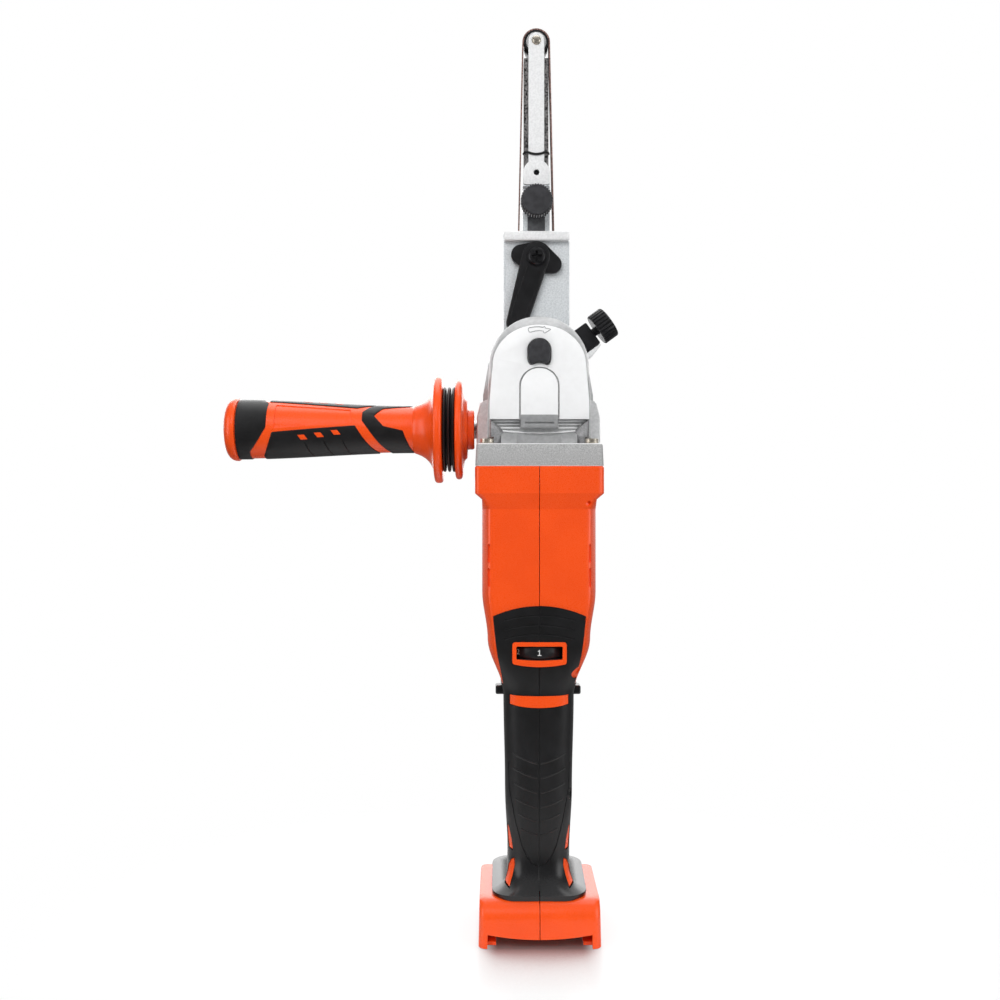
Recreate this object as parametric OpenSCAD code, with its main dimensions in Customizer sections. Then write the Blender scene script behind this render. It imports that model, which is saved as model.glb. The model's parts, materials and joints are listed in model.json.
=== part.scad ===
// Cordless power file: a narrow abrasive belt runs round a spring-loaded arm behind the gear head.
// The tool stands on its battery foot. X is right, Y points away from the viewer, Z is up,
// and the origin is on the floor under the motor axis.

/* [Foot] */
// Width of the battery foot
foot_w = 66; // [64:1:72]
// Depth of the battery foot
foot_d = 70; // [68:1:78]
// Distance from the motor axis to the front of the foot
foot_front = 38; // [37:1:41]
// Height of the foot
foot_h = 25; // [24:1:29]
// Clear height of the battery slot
slot_h = 5; // [4.5:0.5:6]
// Width of the battery slot above the rail hooks
slot_w = 56.4; // [54:0.2:58]
// Gap between the two rail hooks
hook_gap = 47; // [44:1:50]
// Thickness of the rail hooks
hook_t = 2.2; // [1.6:0.2:2.6]

/* [Grip] */
// Wall of the housing shells
wall = 2.4; // [2:0.2:2.8]
// Thickness of the soft overmould
soft_t = 1.5; // [1:0.1:1.8]
// Width of the flare above the foot
flare_w = 52; // [48:1:56]
// Width of the grip at its waist
waist_w = 34.4; // [34:0.2:37]
// Width of the grip at the palm
grip_w = 37.2; // [36:0.2:40]
// Width of the neck under the selector bar
neck_w = 39; // [38:0.5:42]
// Length of the grip from the foot to the neck
grip_len = 108; // [104:1:116]
// Height of the palm swell above the foot
palm_rise = 55; // [48:1:60]

/* [Body] */
// Width of the motor body
body_w = 62.4; // [61:0.2:66]
// Depth of the motor body
body_d = 58; // [57:0.5:62]
// Length of the shoulder between the neck and the straight body
shoulder_len = 57; // [55:1:64]
// Length of the straight motor body
body_len = 45; // [43:1:56]
// Width of the orange collar
collar_w = 70; // [68:0.5:74]
// Depth of the orange collar
collar_d = 64; // [63:0.5:68]
// Height of the bevel under the collar
collar_bevel = 8.8; // [6:0.2:12]
// Height of the orange collar
collar_h = 14.5; // [12:0.5:20]
// Diameter of the speed dial
dial_dia = 32; // [30:0.5:34]
// Thickness of the speed dial
dial_h = 6.5; // [5:0.5:7]
// Height of the speed dial above the neck
dial_rise = 24.2; // [22:0.2:25]
// Length of the selector bar
selector_len = 47.8; // [46:0.2:52]
// Height of the selector bar
selector_h = 5; // [4:0.5:6]
// Length of the trigger
trigger_len = 31; // [26:1:32]
// Width of the trigger
trigger_w = 15.4; // [12:0.2:18]
// Travel of the trigger
trigger_travel = 6; // [4:0.5:6.5]

/* [Motor] */
// Diameter of the stator
stator_dia = 41; // [38:0.5:41.5]
// Length of the stator stack
stator_len = 30; // [26:1:34]
// Diameter of the rotor
rotor_dia = 23; // [20:0.5:24]
// Diameter of the motor shaft
shaft_dia = 8; // [7:0.5:9]
// Diameter of the shaft at its two ends
shaft_end_dia = 5; // [4.5:0.1:5.2]
// Diameter of the cooling fan
fan_dia = 48; // [44:1:52]
// Teeth on the pinion
pinion_teeth = 11; // [10:1:12]
// Teeth on the ring gear
ring_teeth = 33; // [32:1:34]
// Module of the bevel gears at their large end
gear_module = 1.1; // [1:0.05:1.15]

/* [Gear head] */
// Height of the cast collar
cast_h = 12.4; // [11:0.2:16]
// Height of the spindle axis above the cast collar
spindle_rise = 42.8; // [42:0.2:48]
// Radius of the head round the spindle axis
head_r = 27.3; // [26.8:0.1:30]
// Distance from the motor axis to the front face of the head
head_front = 27; // [26:0.5:30]
// Distance from the motor axis to the back face of the head
head_back = 14; // [13.8:0.1:16]
// Thickness of the bearing plate flange
plate_t = 4; // [3.6:0.2:5]
// Diameter of the round neck that the arm swings on
neck_dia = 38; // [36:0.5:40]
// Length of the round neck
neck_len = 11; // [10.4:0.2:12]
// Diameter of the spindle
spindle_dia = 10; // [9:0.5:11]
// Width of the spindle lock button
button_w = 12.4; // [10:0.2:13]
// Travel of the spindle lock button
button_travel = 4; // [3:0.5:4]
// Diameter of the thread for the side handle
handle_thread_dia = 10; // [8:1:12]
// Depth of the threaded socket for the side handle
handle_thread_depth = 14; // [10:0.5:16]
// Height of the side handle axis above the cast collar
handle_rise = 9; // [8:0.5:12]
// Distance between the outer faces of the two handle bosses
boss_span = 69; // [66:0.5:74]

/* [Belt arm] */
// Length of the belt loop along the middle of its thickness
belt_length = 457; // [450:1:470]
// Width of the belt
belt_w = 13; // [10:0.5:15]
// Thickness of the belt
belt_t = 0.8; // [0.6:0.1:1]
// Diameter of the drive wheel
wheel_dia = 23; // [21:0.5:24]
// Diameter of the tip roller
tip_dia = 14.2; // [13:0.2:16]
// Width of the arm housing
arm_w = 38.8; // [38:0.2:44]
// Length of the arm housing above the spindle axis
arm_len = 83.4; // [80:0.2:90]
// Wall of the arm housing
arm_wall = 2.5; // [2:0.1:2.6]
// Height of the lip at the top of the arm housing
lip_h = 5.6; // [4:0.2:7]
// Width of the file arm
file_w = 9.3; // [8:0.1:9.6]
// Thickness of each platen
platen_t = 2.6; // [1.6:0.1:2.6]
// Travel of the arm when the lever lets the belt go
arm_travel = 7.2; // [6.8:0.1:7.4]
// Diameter of the tracking knob
tracking_dia = 18.7; // [16:0.1:19]
// Diameter of the arm clamp knob
clamp_dia = 18.8; // [16:0.2:20]
// Angle of the clamp knob above the horizontal
clamp_angle = 36; // [34:1:44]
// Distance from the spindle axis to the outer face of the clamp block
clamp_reach = 40.5; // [38:0.5:44]

/* [Side handle] */
// Diameter of the handle guard flange
guard_dia = 60.2; // [54:0.2:62]
// Diameter of the inner flange
inner_flange_dia = 56; // [48:0.5:58]
// Diameter of the rubber damper
damper_dia = 47.8; // [42:0.2:50]
// Length of the damper
damper_len = 7.1; // [6:0.1:10]
// Diameter of the handle at its neck
handle_neck_dia = 26; // [24:0.5:28]
// Diameter of the handle at its end
handle_end_dia = 33.2; // [31:0.2:36]
// Length of the handle grip beyond the guard
handle_len = 110; // [104:1:124]
// Thickness of the handle overmould
handle_soft_t = 1.4; // [1:0.1:2]

/* [Clearances] */
// Running clearance of shafts and slides on their radius
run_gap = 0.05; // [0.02:0.01:0.1]
// Clearance of pressed or bolted seats on their radius
seat_gap = 0.02; // [0.02:0.01:0.05]
// Clearance round moving caps, buttons and the belt
free_gap = 0.3; // [0.2:0.05:0.4]

/* [Hidden] */
$fn = 64;

orange = "#f0581e";
soft_black = "#242426";
plastic_black = "#1c1c1e";
cast_silver = "#b4b6b8";
paint_grey = "#d0d6d8";
steel = "#c8c8cc";
dark_steel = "#4a4a4e";
copper = "#b06a3a";
brass = "#c8a85a";
board_green = "#2f6b3c";
belt_brown = "#7a4a48";

// Heights up the tool, each one built on the one below
far = 200;
flare_z = foot_h + 1.5;
waist_z = foot_h + 21;
palm_z = foot_h + palm_rise;
neck_z = foot_h + grip_len;
shoulder_z = neck_z + 31;
body_z = neck_z + shoulder_len;
body_top = body_z + body_len;
collar_z = body_top + collar_bevel;
collar_top = collar_z + collar_h;
cast_top = collar_top + cast_h;
spindle_z = cast_top + spindle_rise;
handle_z = cast_top + handle_rise;
sleeve_top = neck_z - 7.5;
foot_back = foot_d - foot_front;

// Cross sections of the housing: height, half width, front, back and corner radius
sections = [
  [flare_z, flare_w / 2, foot_front - 1, foot_back - 2, 12],
  [waist_z, waist_w / 2, 22.5, 22, 13],
  [palm_z, grip_w / 2, 24, 22.5, 13],
  [neck_z, neck_w / 2, 24.5, 18.5, 12],
  [shoulder_z, body_w / 2 - 3, body_d / 2 - 0.5, body_d / 2 - 4.5, 10],
  [body_z, body_w / 2, body_d / 2, body_d / 2, 8],
  [body_top, body_w / 2, body_d / 2, body_d / 2, 8],
  [collar_z, collar_w / 2, collar_d / 2, collar_d / 2, 10],
  [collar_top, collar_w / 2, collar_d / 2, collar_d / 2, 10]
];
section_steps = [6, 3, 4, 6, 3, 1, 1, 1];
corner_steps = 5;

function around(middle, reach) = [middle - reach, middle + reach];
function from(start, reach) = [start, start + reach];
function ease(t) = t * t * (3 - 2 * t);
function mix(a, b, t) = a + (b - a) * t;
function section_at(i, t) = let (lo = sections[i], hi = sections[i + 1], s = ease(t))
  [mix(lo[0], hi[0], t), mix(lo[1], hi[1], s), mix(lo[2], hi[2], s), mix(lo[3], hi[3], s),
   mix(lo[4], hi[4], s)];
function section_index(z, i = 0) =
  i >= len(sections) - 2 || z <= sections[i + 1][0] ? i : section_index(z, i + 1);
function section_for(z) = let (i = section_index(z), lo = sections[i][0], hi = sections[i + 1][0])
  section_at(i, (z - lo) / (hi - lo));
stations = concat(
  [for (i = [0 : len(section_steps) - 1]) for (j = [0 : section_steps[i] - 1])
    section_at(i, j / section_steps[i])],
  [sections[len(sections) - 1]]);

// Half of a rounded section from its front middle round the right side to its back middle
function half_outline(s, inset) =
  let (a = s[1] - inset, f = s[2] - inset, b = s[3] - inset, r = s[4] - inset, n = corner_steps)
  concat([[0, -f]],
    [for (k = [0 : n]) [a - r + r * sin(90 * k / n), -f + r - r * cos(90 * k / n)]],
    [for (k = [0 : n]) [a - r + r * cos(90 * k / n), b - r + r * sin(90 * k / n)]],
    [[0, b]]);
// Half width of the housing at a height and depth
function half_width(z, y) = let (s = section_for(z), r = s[4], d = max(-s[2] + r - y, y - s[3] + r, 0))
  s[1] - r + sqrt(max(r * r - d * d, 0));

// Closed skin through rows of points, all rows with the same count and running anticlockwise from above
module skin(rows, strip_ends) {
  n = len(rows[0]);
  last = len(rows) - 1;
  points = [for (row = rows) for (p = row) p];
  sides = [for (i = [0 : last - 1]) for (j = [0 : n - 1]) let (k = (j + 1) % n)
    each [[i * n + j, (i + 1) * n + j, (i + 1) * n + k], [i * n + j, (i + 1) * n + k, i * n + k]]];
  half = n / 2;
  bottom = strip_ends
    ? [for (k = [0 : half - 2]) each [[k, k + 1, n - 2 - k], [k, n - 2 - k, n - 1 - k]]]
    : [for (k = [1 : n - 2]) [0, k, k + 1]];
  top = [for (t = bottom) [last * n + t[0], last * n + t[2], last * n + t[1]]];
  polyhedron(points, concat(sides, bottom, top));
}

// One row of a half shell: outer outline out and inner outline back, the inner one dropped if asked
function shell_row(s, outer, inner, drop = 0) =
  let (o = half_outline(s, outer), i = half_outline(s, inner), m = len(o))
  concat([for (p = o) [p[0], p[1], s[0]]], [for (k = [m - 1 : -1 : 0]) [i[k][0], i[k][1], s[0] - drop]]);

core_inset = soft_t + run_gap;
foot_section = [0, foot_w / 2, foot_front, foot_back, 6];
function foot_row(z, inset, drop) =
  let (s = [z, foot_section[1] - inset, foot_front - inset, foot_back - inset, 6])
  shell_row(s, 0, wall, drop);
grip_sections = concat([for (s = stations) if (s[0] < sleeve_top - 2) s], [section_for(sleeve_top)]);
body_sections = concat([section_for(sleeve_top + 0.6)], [for (s = stations) if (s[0] > sleeve_top + 2) s]);

// Screws that join the two housing shells: depth and height of each
stator_z = body_z - 1;
winding_h = 5;
boss_r = 3.5;
screw_r = 1.5;
screw_head_r = 3;
screw_head_t = 2.2;
screw_thread_len = 11;
recess_depth = 5;
boss_cover = 4.5;
motor_boss_y = body_d / 2 - boss_cover;
low_boss_z = stator_z - winding_h - boss_r - 0.5;
screw_sites = [
  [motor_boss_y, body_top - 7], [-motor_boss_y, body_top - 7],
  [section_for(low_boss_z)[3] - boss_cover, low_boss_z],
  [-17, neck_z + 10], [-16, palm_z - 2], [-foot_front + 8, slot_h + 11], [foot_back - 8, slot_h + 11]
];
function site_width(s) = s[1] < foot_h ? foot_w / 2 : half_width(s[1], s[0]);
// Half width at the edge of a boss, less the sleeve where there is one, so the boss ends inside the shell
function boss_end(s) = s[1] < foot_h ? foot_w / 2 - wall / 2
  : min(half_width(s[1], s[0] - boss_r), half_width(s[1], s[0] + boss_r)) - wall / 2
    - (s[1] < sleeve_top ? core_inset : 0);

// Thumb panel on the shoulder, its rows at the same heights as the shell's
panel_t = 0.9;
panel_z = [neck_z + 0.5, body_z - 7.4];
panel_arch_r = 52;
panel_rows = concat([panel_z[0]],
  [for (s = stations) if (s[0] > panel_z[0] + 1 && s[0] < panel_z[1] - 1) s[0]], [panel_z[1]]);

// Speed dial
dial_z = neck_z + dial_rise;
dial_r = dial_dia / 2;
dial_proud = 1.4;
dial_y = -section_for(dial_z)[2] - dial_proud + dial_r;
dial_axle_r = 3;
window_h = dial_h + 2 * free_gap;
window_w = 25;
bezel_w = window_w + 4.4;
bezel_h = window_h + 5.2;
bezel_proud = 1.2;
pot_z = dial_z + dial_h / 2 + 2 * free_gap;
pot_h = 6;
shelf_t = 2.5;

// Trigger, switch and selector
trigger_z = neck_z - 21.5;
switch_w = 20;
switch_y = [-10, 4];
switch_z = [trigger_z - 19.5, trigger_z + 14.5];
flange_lip = 2;
trigger_flange = [switch_y[1] + trigger_travel + 1.5, switch_y[1] + trigger_travel + 4];
trigger_proud = 5;
trigger_face = section_for(trigger_z)[3] + trigger_proud;
selector_z = neck_z + 0.5;
selector_d = 10;

// Battery end
deck_t = 2.2;
deck_z = slot_h + deck_t;
block_w = 28;
block_y = [-14, 16];
block_rim = 3;
block_top = deck_z + 4.8;
tray_w = foot_w - 18;
tray_y = [-foot_front + 8 + boss_r + 1, foot_back - 8 - boss_r - 1];
tray_h = 8;
tray_wall = 1.5;
board_t = 1.6;
contact_count = 4;
contact_pitch = 6;
contact_t = 0.8;

// Motor stack
stator_r = stator_dia / 2;
shaft_r = shaft_dia / 2;
shaft_end_r = shaft_end_dia / 2;
rear_bearing_r = 8;
rear_bearing_h = 5;
rear_bearing_z = stator_z - winding_h - 2 - rear_bearing_h;
rear_support_h = 7.5;
front_bearing_r = 11;
front_bearing_h = 7;
front_bearing_z = cast_top - 1.7 - front_bearing_h;
fan_z = collar_z - 7;
fan_h = 12;
fan_blades = 11;
fan_rake = 25;
fan_disc_t = 1.6;
fan_blade_t = 1.2;
baffle_t = 3;
baffle_r = collar_d / 2 - wall - free_gap;

// Bevel gears, both cut towards the point where the two axes cross
ring_r = gear_module * ring_teeth / 2;
pinion_r = gear_module * pinion_teeth / 2;
cone_len = sqrt(ring_r * ring_r + pinion_r * pinion_r);
tooth_add = 0.8 * gear_module;
tooth_ded = 1.2 * gear_module;
tooth_pitch = PI * gear_module;
tooth_root = 0.56 * tooth_pitch;
tooth_tip = 0.2 * tooth_pitch;
face_end = 1 - 5.5 / cone_len;
pinion_shank_r = shaft_end_r + 1.4;
pinion_shank_end = spindle_rise + 1.1;

// Gear head
cavity_r = ring_r + 4;
head_wall_front = 7.5;
cavity_front = -head_front + head_wall_front;
rim = 6;
face_rise = 13.3;
louvre_x = 19;
louvre_w = 12;
louvre_h = 1.4;
louvre_pitch = 3;
boss_radius = 12;
thread_r = handle_thread_dia / 2;
needle_r = 6;
needle_len = 8;
needle_y = cavity_front + 0.5;
spindle_r = spindle_dia / 2;
spindle_nose_r = spindle_r - 1;
ball_r = 13;
ball_w = 8;
back_y = head_back + plate_t;
ball_y = back_y + 2;
neck_r = neck_dia / 2;
neck_end = back_y + neck_len;
plate_screw_r = 1.6;
plate_screw_head_r = 2.6;
plate_screw_len = 8;
plate_screw_ring = cavity_r + 2.4;
cast_screw_x = collar_w / 2 - 6.5;
cast_screw_y = collar_d / 2 - 6.5;
cast_screw_r = 2;
cast_screw_len = 24;
button_z = spindle_z + 0.2;
button_r = button_w / 2;
button_flat = 7.8;
button_t = 3.6;
button_rest_y = -head_front - 3;
pocket_floor = button_rest_y + button_t + button_travel + 0.2;
pin_r = 2;
pin_offset = 9.6;
pin_tip_y = pinion_r * face_end - 0.8;
lock_holes = 4;

// Belt drive
wheel_r = wheel_dia / 2;
tip_r = tip_dia / 2;
belt_wheel_r = wheel_r + free_gap;
belt_tip_r = tip_r + free_gap;
mid_wheel_r = belt_wheel_r + belt_t / 2;
mid_tip_r = belt_tip_r + belt_t / 2;
run_len = (belt_length - PI * (mid_wheel_r + mid_tip_r)) / 2;
belt_centres = run_len - (mid_wheel_r - mid_tip_r) * (mid_wheel_r - mid_tip_r) / (2 * run_len);
tip_z = spindle_z + belt_centres;
hub_y = neck_end + 2;
wheel_w = belt_w + 1;
belt_y = hub_y + 0.5;
wheel_end = hub_y + wheel_w;
wheel_seat_r = spindle_r - 0.5;
wheel_hub_r = 8;
wheel_screw_r = 2;
wheel_screw_head = 2.3;

// Arm housing: ring on the round neck, flat back plate, side walls and lip
ring_y = back_y + 0.4;
ring_out_r = neck_r + 6;
plate_y = neck_end - 3;
arm_half = arm_w / 2;
bay_end = wheel_end + wheel_screw_head + 0.9;
cover_t = 2;
lip_top = spindle_z + arm_len;
lip_z = lip_top - lip_h;
lip_proud = 4.5;
cam_gap = 0.4;
lever_head_r = 9;
lever_bore_r = 2.5;
pivot_z = lip_z - cam_gap - lever_head_r;
lever_t = 4;
lever_y = plate_y - 0.5 - lever_t;
lever_tail = [-11.6, -38.5];
lever_tail_r = 6.2;
slider_w = 10.2;
slider_y = [neck_end + 0.3, neck_end + 12];
slider_z = [pivot_z - 25, lip_top + 10];
slider_bore = 8;
guide_w = 2.4;
guide_h = 9;
seat_z = spindle_z + belt_wheel_r + belt_t + 8;
seat_t = 3;
cover_boss_r = 3;
cover_screw_r = 1.3;
cover_screw_len = 10;
cover_sites = [
  for (side = [-1, 1]) [side * (arm_half - arm_wall - 2.2), lip_z - 6],
  for (side = [-1, 1]) [side * (ring_out_r - 4.4) * cos(48), spindle_z - (ring_out_r - 4.4) * sin(48)]
];

// Moving arm
knob_z = lip_top + tracking_dia / 2 + arm_travel + 0.6;
root_half = slider_w / 2 + 2.8;
root_z = lip_top - 9;
root_top = knob_z + 12;
tab_r = 7.8;
tab_z = knob_z + 18;
tab_hole_r = 1.65;
cheek_t = 2;
file_y = [hub_y - cheek_t - 0.7, wheel_end + cheek_t + 0.7];
platen_z = [knob_z + 22.7, tip_z - tip_r - 2.2];
tip_pin_r = 2.5;
tip_head_r = 2.8;
tip_hub_r = tip_r - 1.5;
tracking_t = 9.4;
tracking_y = file_y[0] - cheek_t - 0.7 - tracking_t;
knob_grooves = 20;

// Clamp on the ring
clamp_seat = ring_out_r + 1.5;
clamp_block_w = 14.6;
clamp_y = (ring_y + plate_y) / 2;
clamp_d = plate_y - ring_y - 0.6;
clamp_stud_r = 2.5;
clamp_knob_t = 9.4;
clamp_knob_gap = 2.5;

// Side handle, measured along -X from the boss face
boss_x = boss_span / 2;
hub_x = boss_x + 1.3;
hub_len = 3.7;
step_len = 2.1;
flange_t = 4.7;
damper_x = hub_x + hub_len + step_len + flange_t;
guard_x = damper_x + damper_len;
guard_t = 4.7;
grip_x = guard_x + guard_t;
handle_end_x = grip_x + handle_len;
cap_len = 7.7;
stud_hold = 17;
handle_neck_r = handle_neck_dia / 2;
handle_end_r = handle_end_dia / 2;
handle_hub_r = 11.1;
handle_step_r = 16.5;
grip_start = grip_x + 12;
grip_marks = [for (k = [0 : 4]) mix(grip_start, handle_end_x, k / 4)];
function handle_r(x) =
  mix(handle_neck_r, handle_end_r, ease((x - grip_start) / (handle_end_x - grip_start)));

// Basic shapes
module along_x(x, y, z) { translate([x, y, z]) rotate([0, 90, 0]) children(); }
module along_y(y, z) { translate([0, y, z]) rotate([-90, 0, 0]) children(); }
module box(x, y, z) {
  translate([x[0], y[0], z[0]]) cube([x[1] - x[0], y[1] - y[0], z[1] - z[0]]);
}
module tube(outer, inner, h) {
  difference() {
    cylinder(r = outer, h = h);
    translate([0, 0, -1]) cylinder(r = inner, h = h + 2);
  }
}
module rounded(half_x, half_y, r) {
  square([2 * half_x, 2 * (half_y - r)], center = true);
  square([2 * (half_x - r), 2 * half_y], center = true);
  for (sx = [-1, 1]) for (sy = [-1, 1]) translate([sx * (half_x - r), sy * (half_y - r)]) circle(r);
}
module prism_y(y) {
  translate([0, y[1], 0]) rotate([90, 0, 0]) linear_extrude(y[1] - y[0]) children();
}
// Rounded knob with grooves cut along its rim
module grooved_knob(r, t, grooves) {
  linear_extrude(t) difference() {
    circle(r);
    for (k = [0 : grooves - 1]) rotate(k * 360 / grooves) translate([r + 0.25, 0]) circle(0.8, $fn = 24);
  }
}
// Coil spring swept along Z, with its ends on z = 0 and z = h
module coil(r, wire, h, turns) {
  sides = 6;
  rings = 8 * turns;
  rise = h - 2 * wire;
  echo(least_coil_gap = rise / turns - 2 * wire);
  skin([for (i = [0 : rings]) let (a = -360 * turns * i / rings, z = wire + rise * i / rings)
    [for (k = [0 : sides - 1]) let (q = 360 * k / sides, d = r + wire * cos(q))
      [d * cos(a), d * sin(a), z + wire * sin(q)]]], false);
}
// Straight bevel gear with its axis along Z and the crossing point of the axes at z = 0
module bevel_gear(teeth, r, depth, first, back_r, back_z) {
  quad = [[-tooth_ded, -tooth_root / 2], [tooth_add, -tooth_tip / 2],
    [tooth_add, tooth_tip / 2], [-tooth_ded, tooth_root / 2]];
  function ring(s) = [for (k = [0 : teeth - 1]) for (q = quad)
    let (t = first + 360 * k / teeth, d = s * (r + q[0] * depth / cone_len), w = s * q[1])
    [d * cos(t) - w * sin(t), d * sin(t) + w * cos(t), s * (depth - q[0] * r / cone_len)]];
  large = ring(1);
  back = [for (p = large) let (d = norm([p[0], p[1]])) [p[0] * back_r / d, p[1] * back_r / d, back_z]];
  small = ring(face_end);
  root_z = face_end * (depth + tooth_ded * r / cone_len);
  inner_r = face_end * (r - tooth_ded * depth / cone_len) - 0.2;
  front = [for (p = small) let (d = norm([p[0], p[1]])) [p[0] * inner_r / d, p[1] * inner_r / d, root_z]];
  skin([front, small, large, back], false);
}

// Housing
module half_housing(head_side) {
  difference() {
    union() {
      skin(concat(
        [foot_row(0, 0, 0), foot_row(foot_h - 5, 0, 0), foot_row(foot_h - 1.5, 1, wall / 2),
         foot_row(foot_h, 3, wall)],
        [for (i = [0 : len(grip_sections) - 1])
          shell_row(grip_sections[i], core_inset, core_inset + wall, i == 0 ? wall : 0)],
        [for (s = body_sections) shell_row(s, 0, wall)]), true);
      box([0, foot_w / 2 - 2], [-foot_front + 2, foot_back - 2], [slot_h, deck_z]);
      box([0, site_width([dial_y, pot_z + pot_h]) - wall + 0.9], [dial_y - 7.5, dial_y + 8],
        [pot_z + pot_h, pot_z + pot_h + shelf_t]);
      box([0, half_width(switch_z[0] - shelf_t, 0) - core_inset - wall + 0.9], [switch_y[0] - 2, switch_y[1]],
        [switch_z[0] - shelf_t, switch_z[0]]);
      box([0, half_width(rear_bearing_z, 0) - wall + 0.9], [-12, 12],
        [rear_bearing_z - 1.5, rear_bearing_z - 1.5 + rear_support_h]);
      for (z = [stator_z + 4, stator_z + stator_len - 7])
        box([0, body_w / 2 - 1.2], [-22, 22], [z, z + shelf_t]);
      for (s = screw_sites) along_x(0, s[0], s[1]) cylinder(r = boss_r, h = boss_end(s));
      for (sy = [-1, 1]) translate([cast_screw_x, sy * cast_screw_y, collar_top - 15])
        cylinder(r = 3.6, h = 15);
      box([0, bezel_w / 2], [-section_for(dial_z)[2] - bezel_proud, -section_for(dial_z)[2] + 1.5],
        [dial_z - bezel_h / 2, dial_z + bezel_h / 2]);
    }
    // battery slot and the hole that the terminal block drops through
    box([-1, slot_w / 2], [-far, far], [-1, slot_h]);
    box([-1, block_w / 2 + free_gap], block_y + [-free_gap, free_gap], [0, deck_z + 1]);
    // dial window, selector slot and trigger opening
    box([-1, window_w / 2], [-far, dial_y - 8], [dial_z - window_h / 2, dial_z + window_h / 2]);
    box([-1, far], [-selector_d / 2 - free_gap, selector_d / 2 + free_gap],
      around(selector_z, selector_h / 2 + free_gap));
    box([-1, trigger_w / 2 + free_gap], [selector_d, far], around(trigger_z, trigger_len / 2 + free_gap));
    // side vents beside the stator
    for (z = [body_z + 3, body_z + 16]) for (y = [-body_d / 2 + 2, body_d / 2 - 8])
      box([body_w / 2 - 4.5, far], [y, y + 6], [z, z + 10]);
    // seats of the stator and the rear bearing
    translate([0, 0, stator_z]) cylinder(r = stator_r + run_gap, h = stator_len);
    translate([0, 0, rear_bearing_z]) cylinder(r = rear_bearing_r + seat_gap, h = rear_support_h);
    translate([0, 0, rear_bearing_z - 2]) cylinder(r = shaft_end_r + 1.5, h = 4);
    // screws
    for (s = screw_sites) {
      along_x(-1, s[0], s[1]) cylinder(r = screw_r + run_gap, h = head_side ? far : screw_thread_len + 2);
      if (head_side) along_x(site_width(s) - recess_depth, s[0], s[1])
        cylinder(r = screw_head_r + free_gap, h = far);
    }
    for (sy = [-1, 1]) translate([cast_screw_x, sy * cast_screw_y, collar_top - 14])
      cylinder(r = cast_screw_r + run_gap, h = 15);
  }
  // rail hooks, inside the side wall
  box([hook_gap / 2, foot_w / 2 - wall + 0.9], [-foot_front + 6, foot_back - 6], [0, hook_t]);
}
module housing_right() { color(orange) half_housing(true); }
module housing_left() { color(orange) mirror([1, 0, 0]) half_housing(false); }

// Soft overmould: a sleeve on the grip and a thumb panel under the motor body
function panel_row(z) =
  let (s = section_for(z), turn = mix(60, 34, (z - panel_z[0]) / (panel_z[1] - panel_z[0])), n = 5,
    outer = [for (k = [0 : n]) let (a = turn * k / n, r = s[4] + panel_t)
      [s[1] - s[4] + r * sin(a), -s[2] + s[4] - r * cos(a), z]],
    inner = [for (k = [n : -1 : 0]) let (a = turn * k / n, r = s[4] + free_gap)
      [s[1] - s[4] + r * sin(a), -s[2] + s[4] - r * cos(a), z]])
  concat([[0, -s[2] - panel_t, z]], outer, inner, [[0, -s[2] - free_gap, z]]);
module half_overmould(head_side) {
  difference() {
    union() {
      skin([for (i = [0 : len(grip_sections) - 1]) let (s = grip_sections[i], last = len(grip_sections) - 1)
        shell_row(i == last ? [s[0] - 0.1, s[1], s[2], s[3], s[4]] : s, 0, soft_t)], true);
      intersection() {
        skin([for (z = panel_rows) panel_row(z)], true);
        along_y(-far / 2, panel_z[1] - panel_arch_r) cylinder(r = panel_arch_r, h = far, $fn = 128);
      }
    }
    box([-1, trigger_w / 2 + free_gap], [selector_d, far], around(trigger_z, trigger_len / 2 + free_gap));
    box([-1, bezel_w / 2 + run_gap], [-far, 0], around(dial_z, bezel_h / 2 + run_gap));
    if (head_side) for (s = screw_sites) if (s[1] > foot_h) along_x(1, s[0], s[1])
      cylinder(r = screw_head_r + free_gap, h = far);
  }
}
module overmould_right() { color(soft_black) half_overmould(true); }
module overmould_left() { color(soft_black) mirror([1, 0, 0]) half_overmould(false); }
module housing_screws() {
  color(dark_steel) for (s = screw_sites) {
    seat = site_width(s) - recess_depth;
    along_x(-screw_thread_len, s[0], s[1]) cylinder(r = screw_r, h = seat + screw_thread_len + 0.2);
    along_x(seat, s[0], s[1]) difference() {
      cylinder(r = screw_head_r, h = screw_head_t);
      translate([0, 0, screw_head_t - 1.2]) cylinder(r = 1.4, h = 2, $fn = 6);
    }
  }
}

// Controls
module speed_dial() {
  color(plastic_black) translate([0, dial_y, dial_z - dial_h / 2]) difference() {
    grooved_knob(dial_r, dial_h, 45);
    translate([0, 0, -1]) cylinder(r = dial_axle_r + run_gap, h = dial_h + 2);
  }
}
module dial_potentiometer() {
  color(board_green) {
    box([-7, 7], around(dial_y, 7), [pot_z, pot_z + pot_h]);
    translate([0, dial_y, dial_z - dial_h / 2])
      cylinder(r = dial_axle_r, h = pot_z - dial_z + dial_h / 2 + 0.5);
  }
}
module trigger() {
  low = trigger_z - trigger_len / 2;
  high = trigger_z + trigger_len / 2;
  color(soft_black) {
    rotate([90, 0, 90]) translate([0, 0, -trigger_w / 2]) linear_extrude(trigger_w)
      polygon([[trigger_flange[0], low], [trigger_face - 4, low], [trigger_face, low + 5],
        [trigger_face - 1.5, trigger_z], [trigger_face, high - 6], [trigger_face - 3.5, high],
        [trigger_flange[0], high]]);
    box((trigger_w / 2 + flange_lip) * [-1, 1], trigger_flange, [low - flange_lip, high + flange_lip]);
  }
}
module trigger_spring() {
  color(steel) along_y(switch_y[1], trigger_z) coil(3.2, 0.4, trigger_flange[0] - switch_y[1], 4);
}
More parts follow.
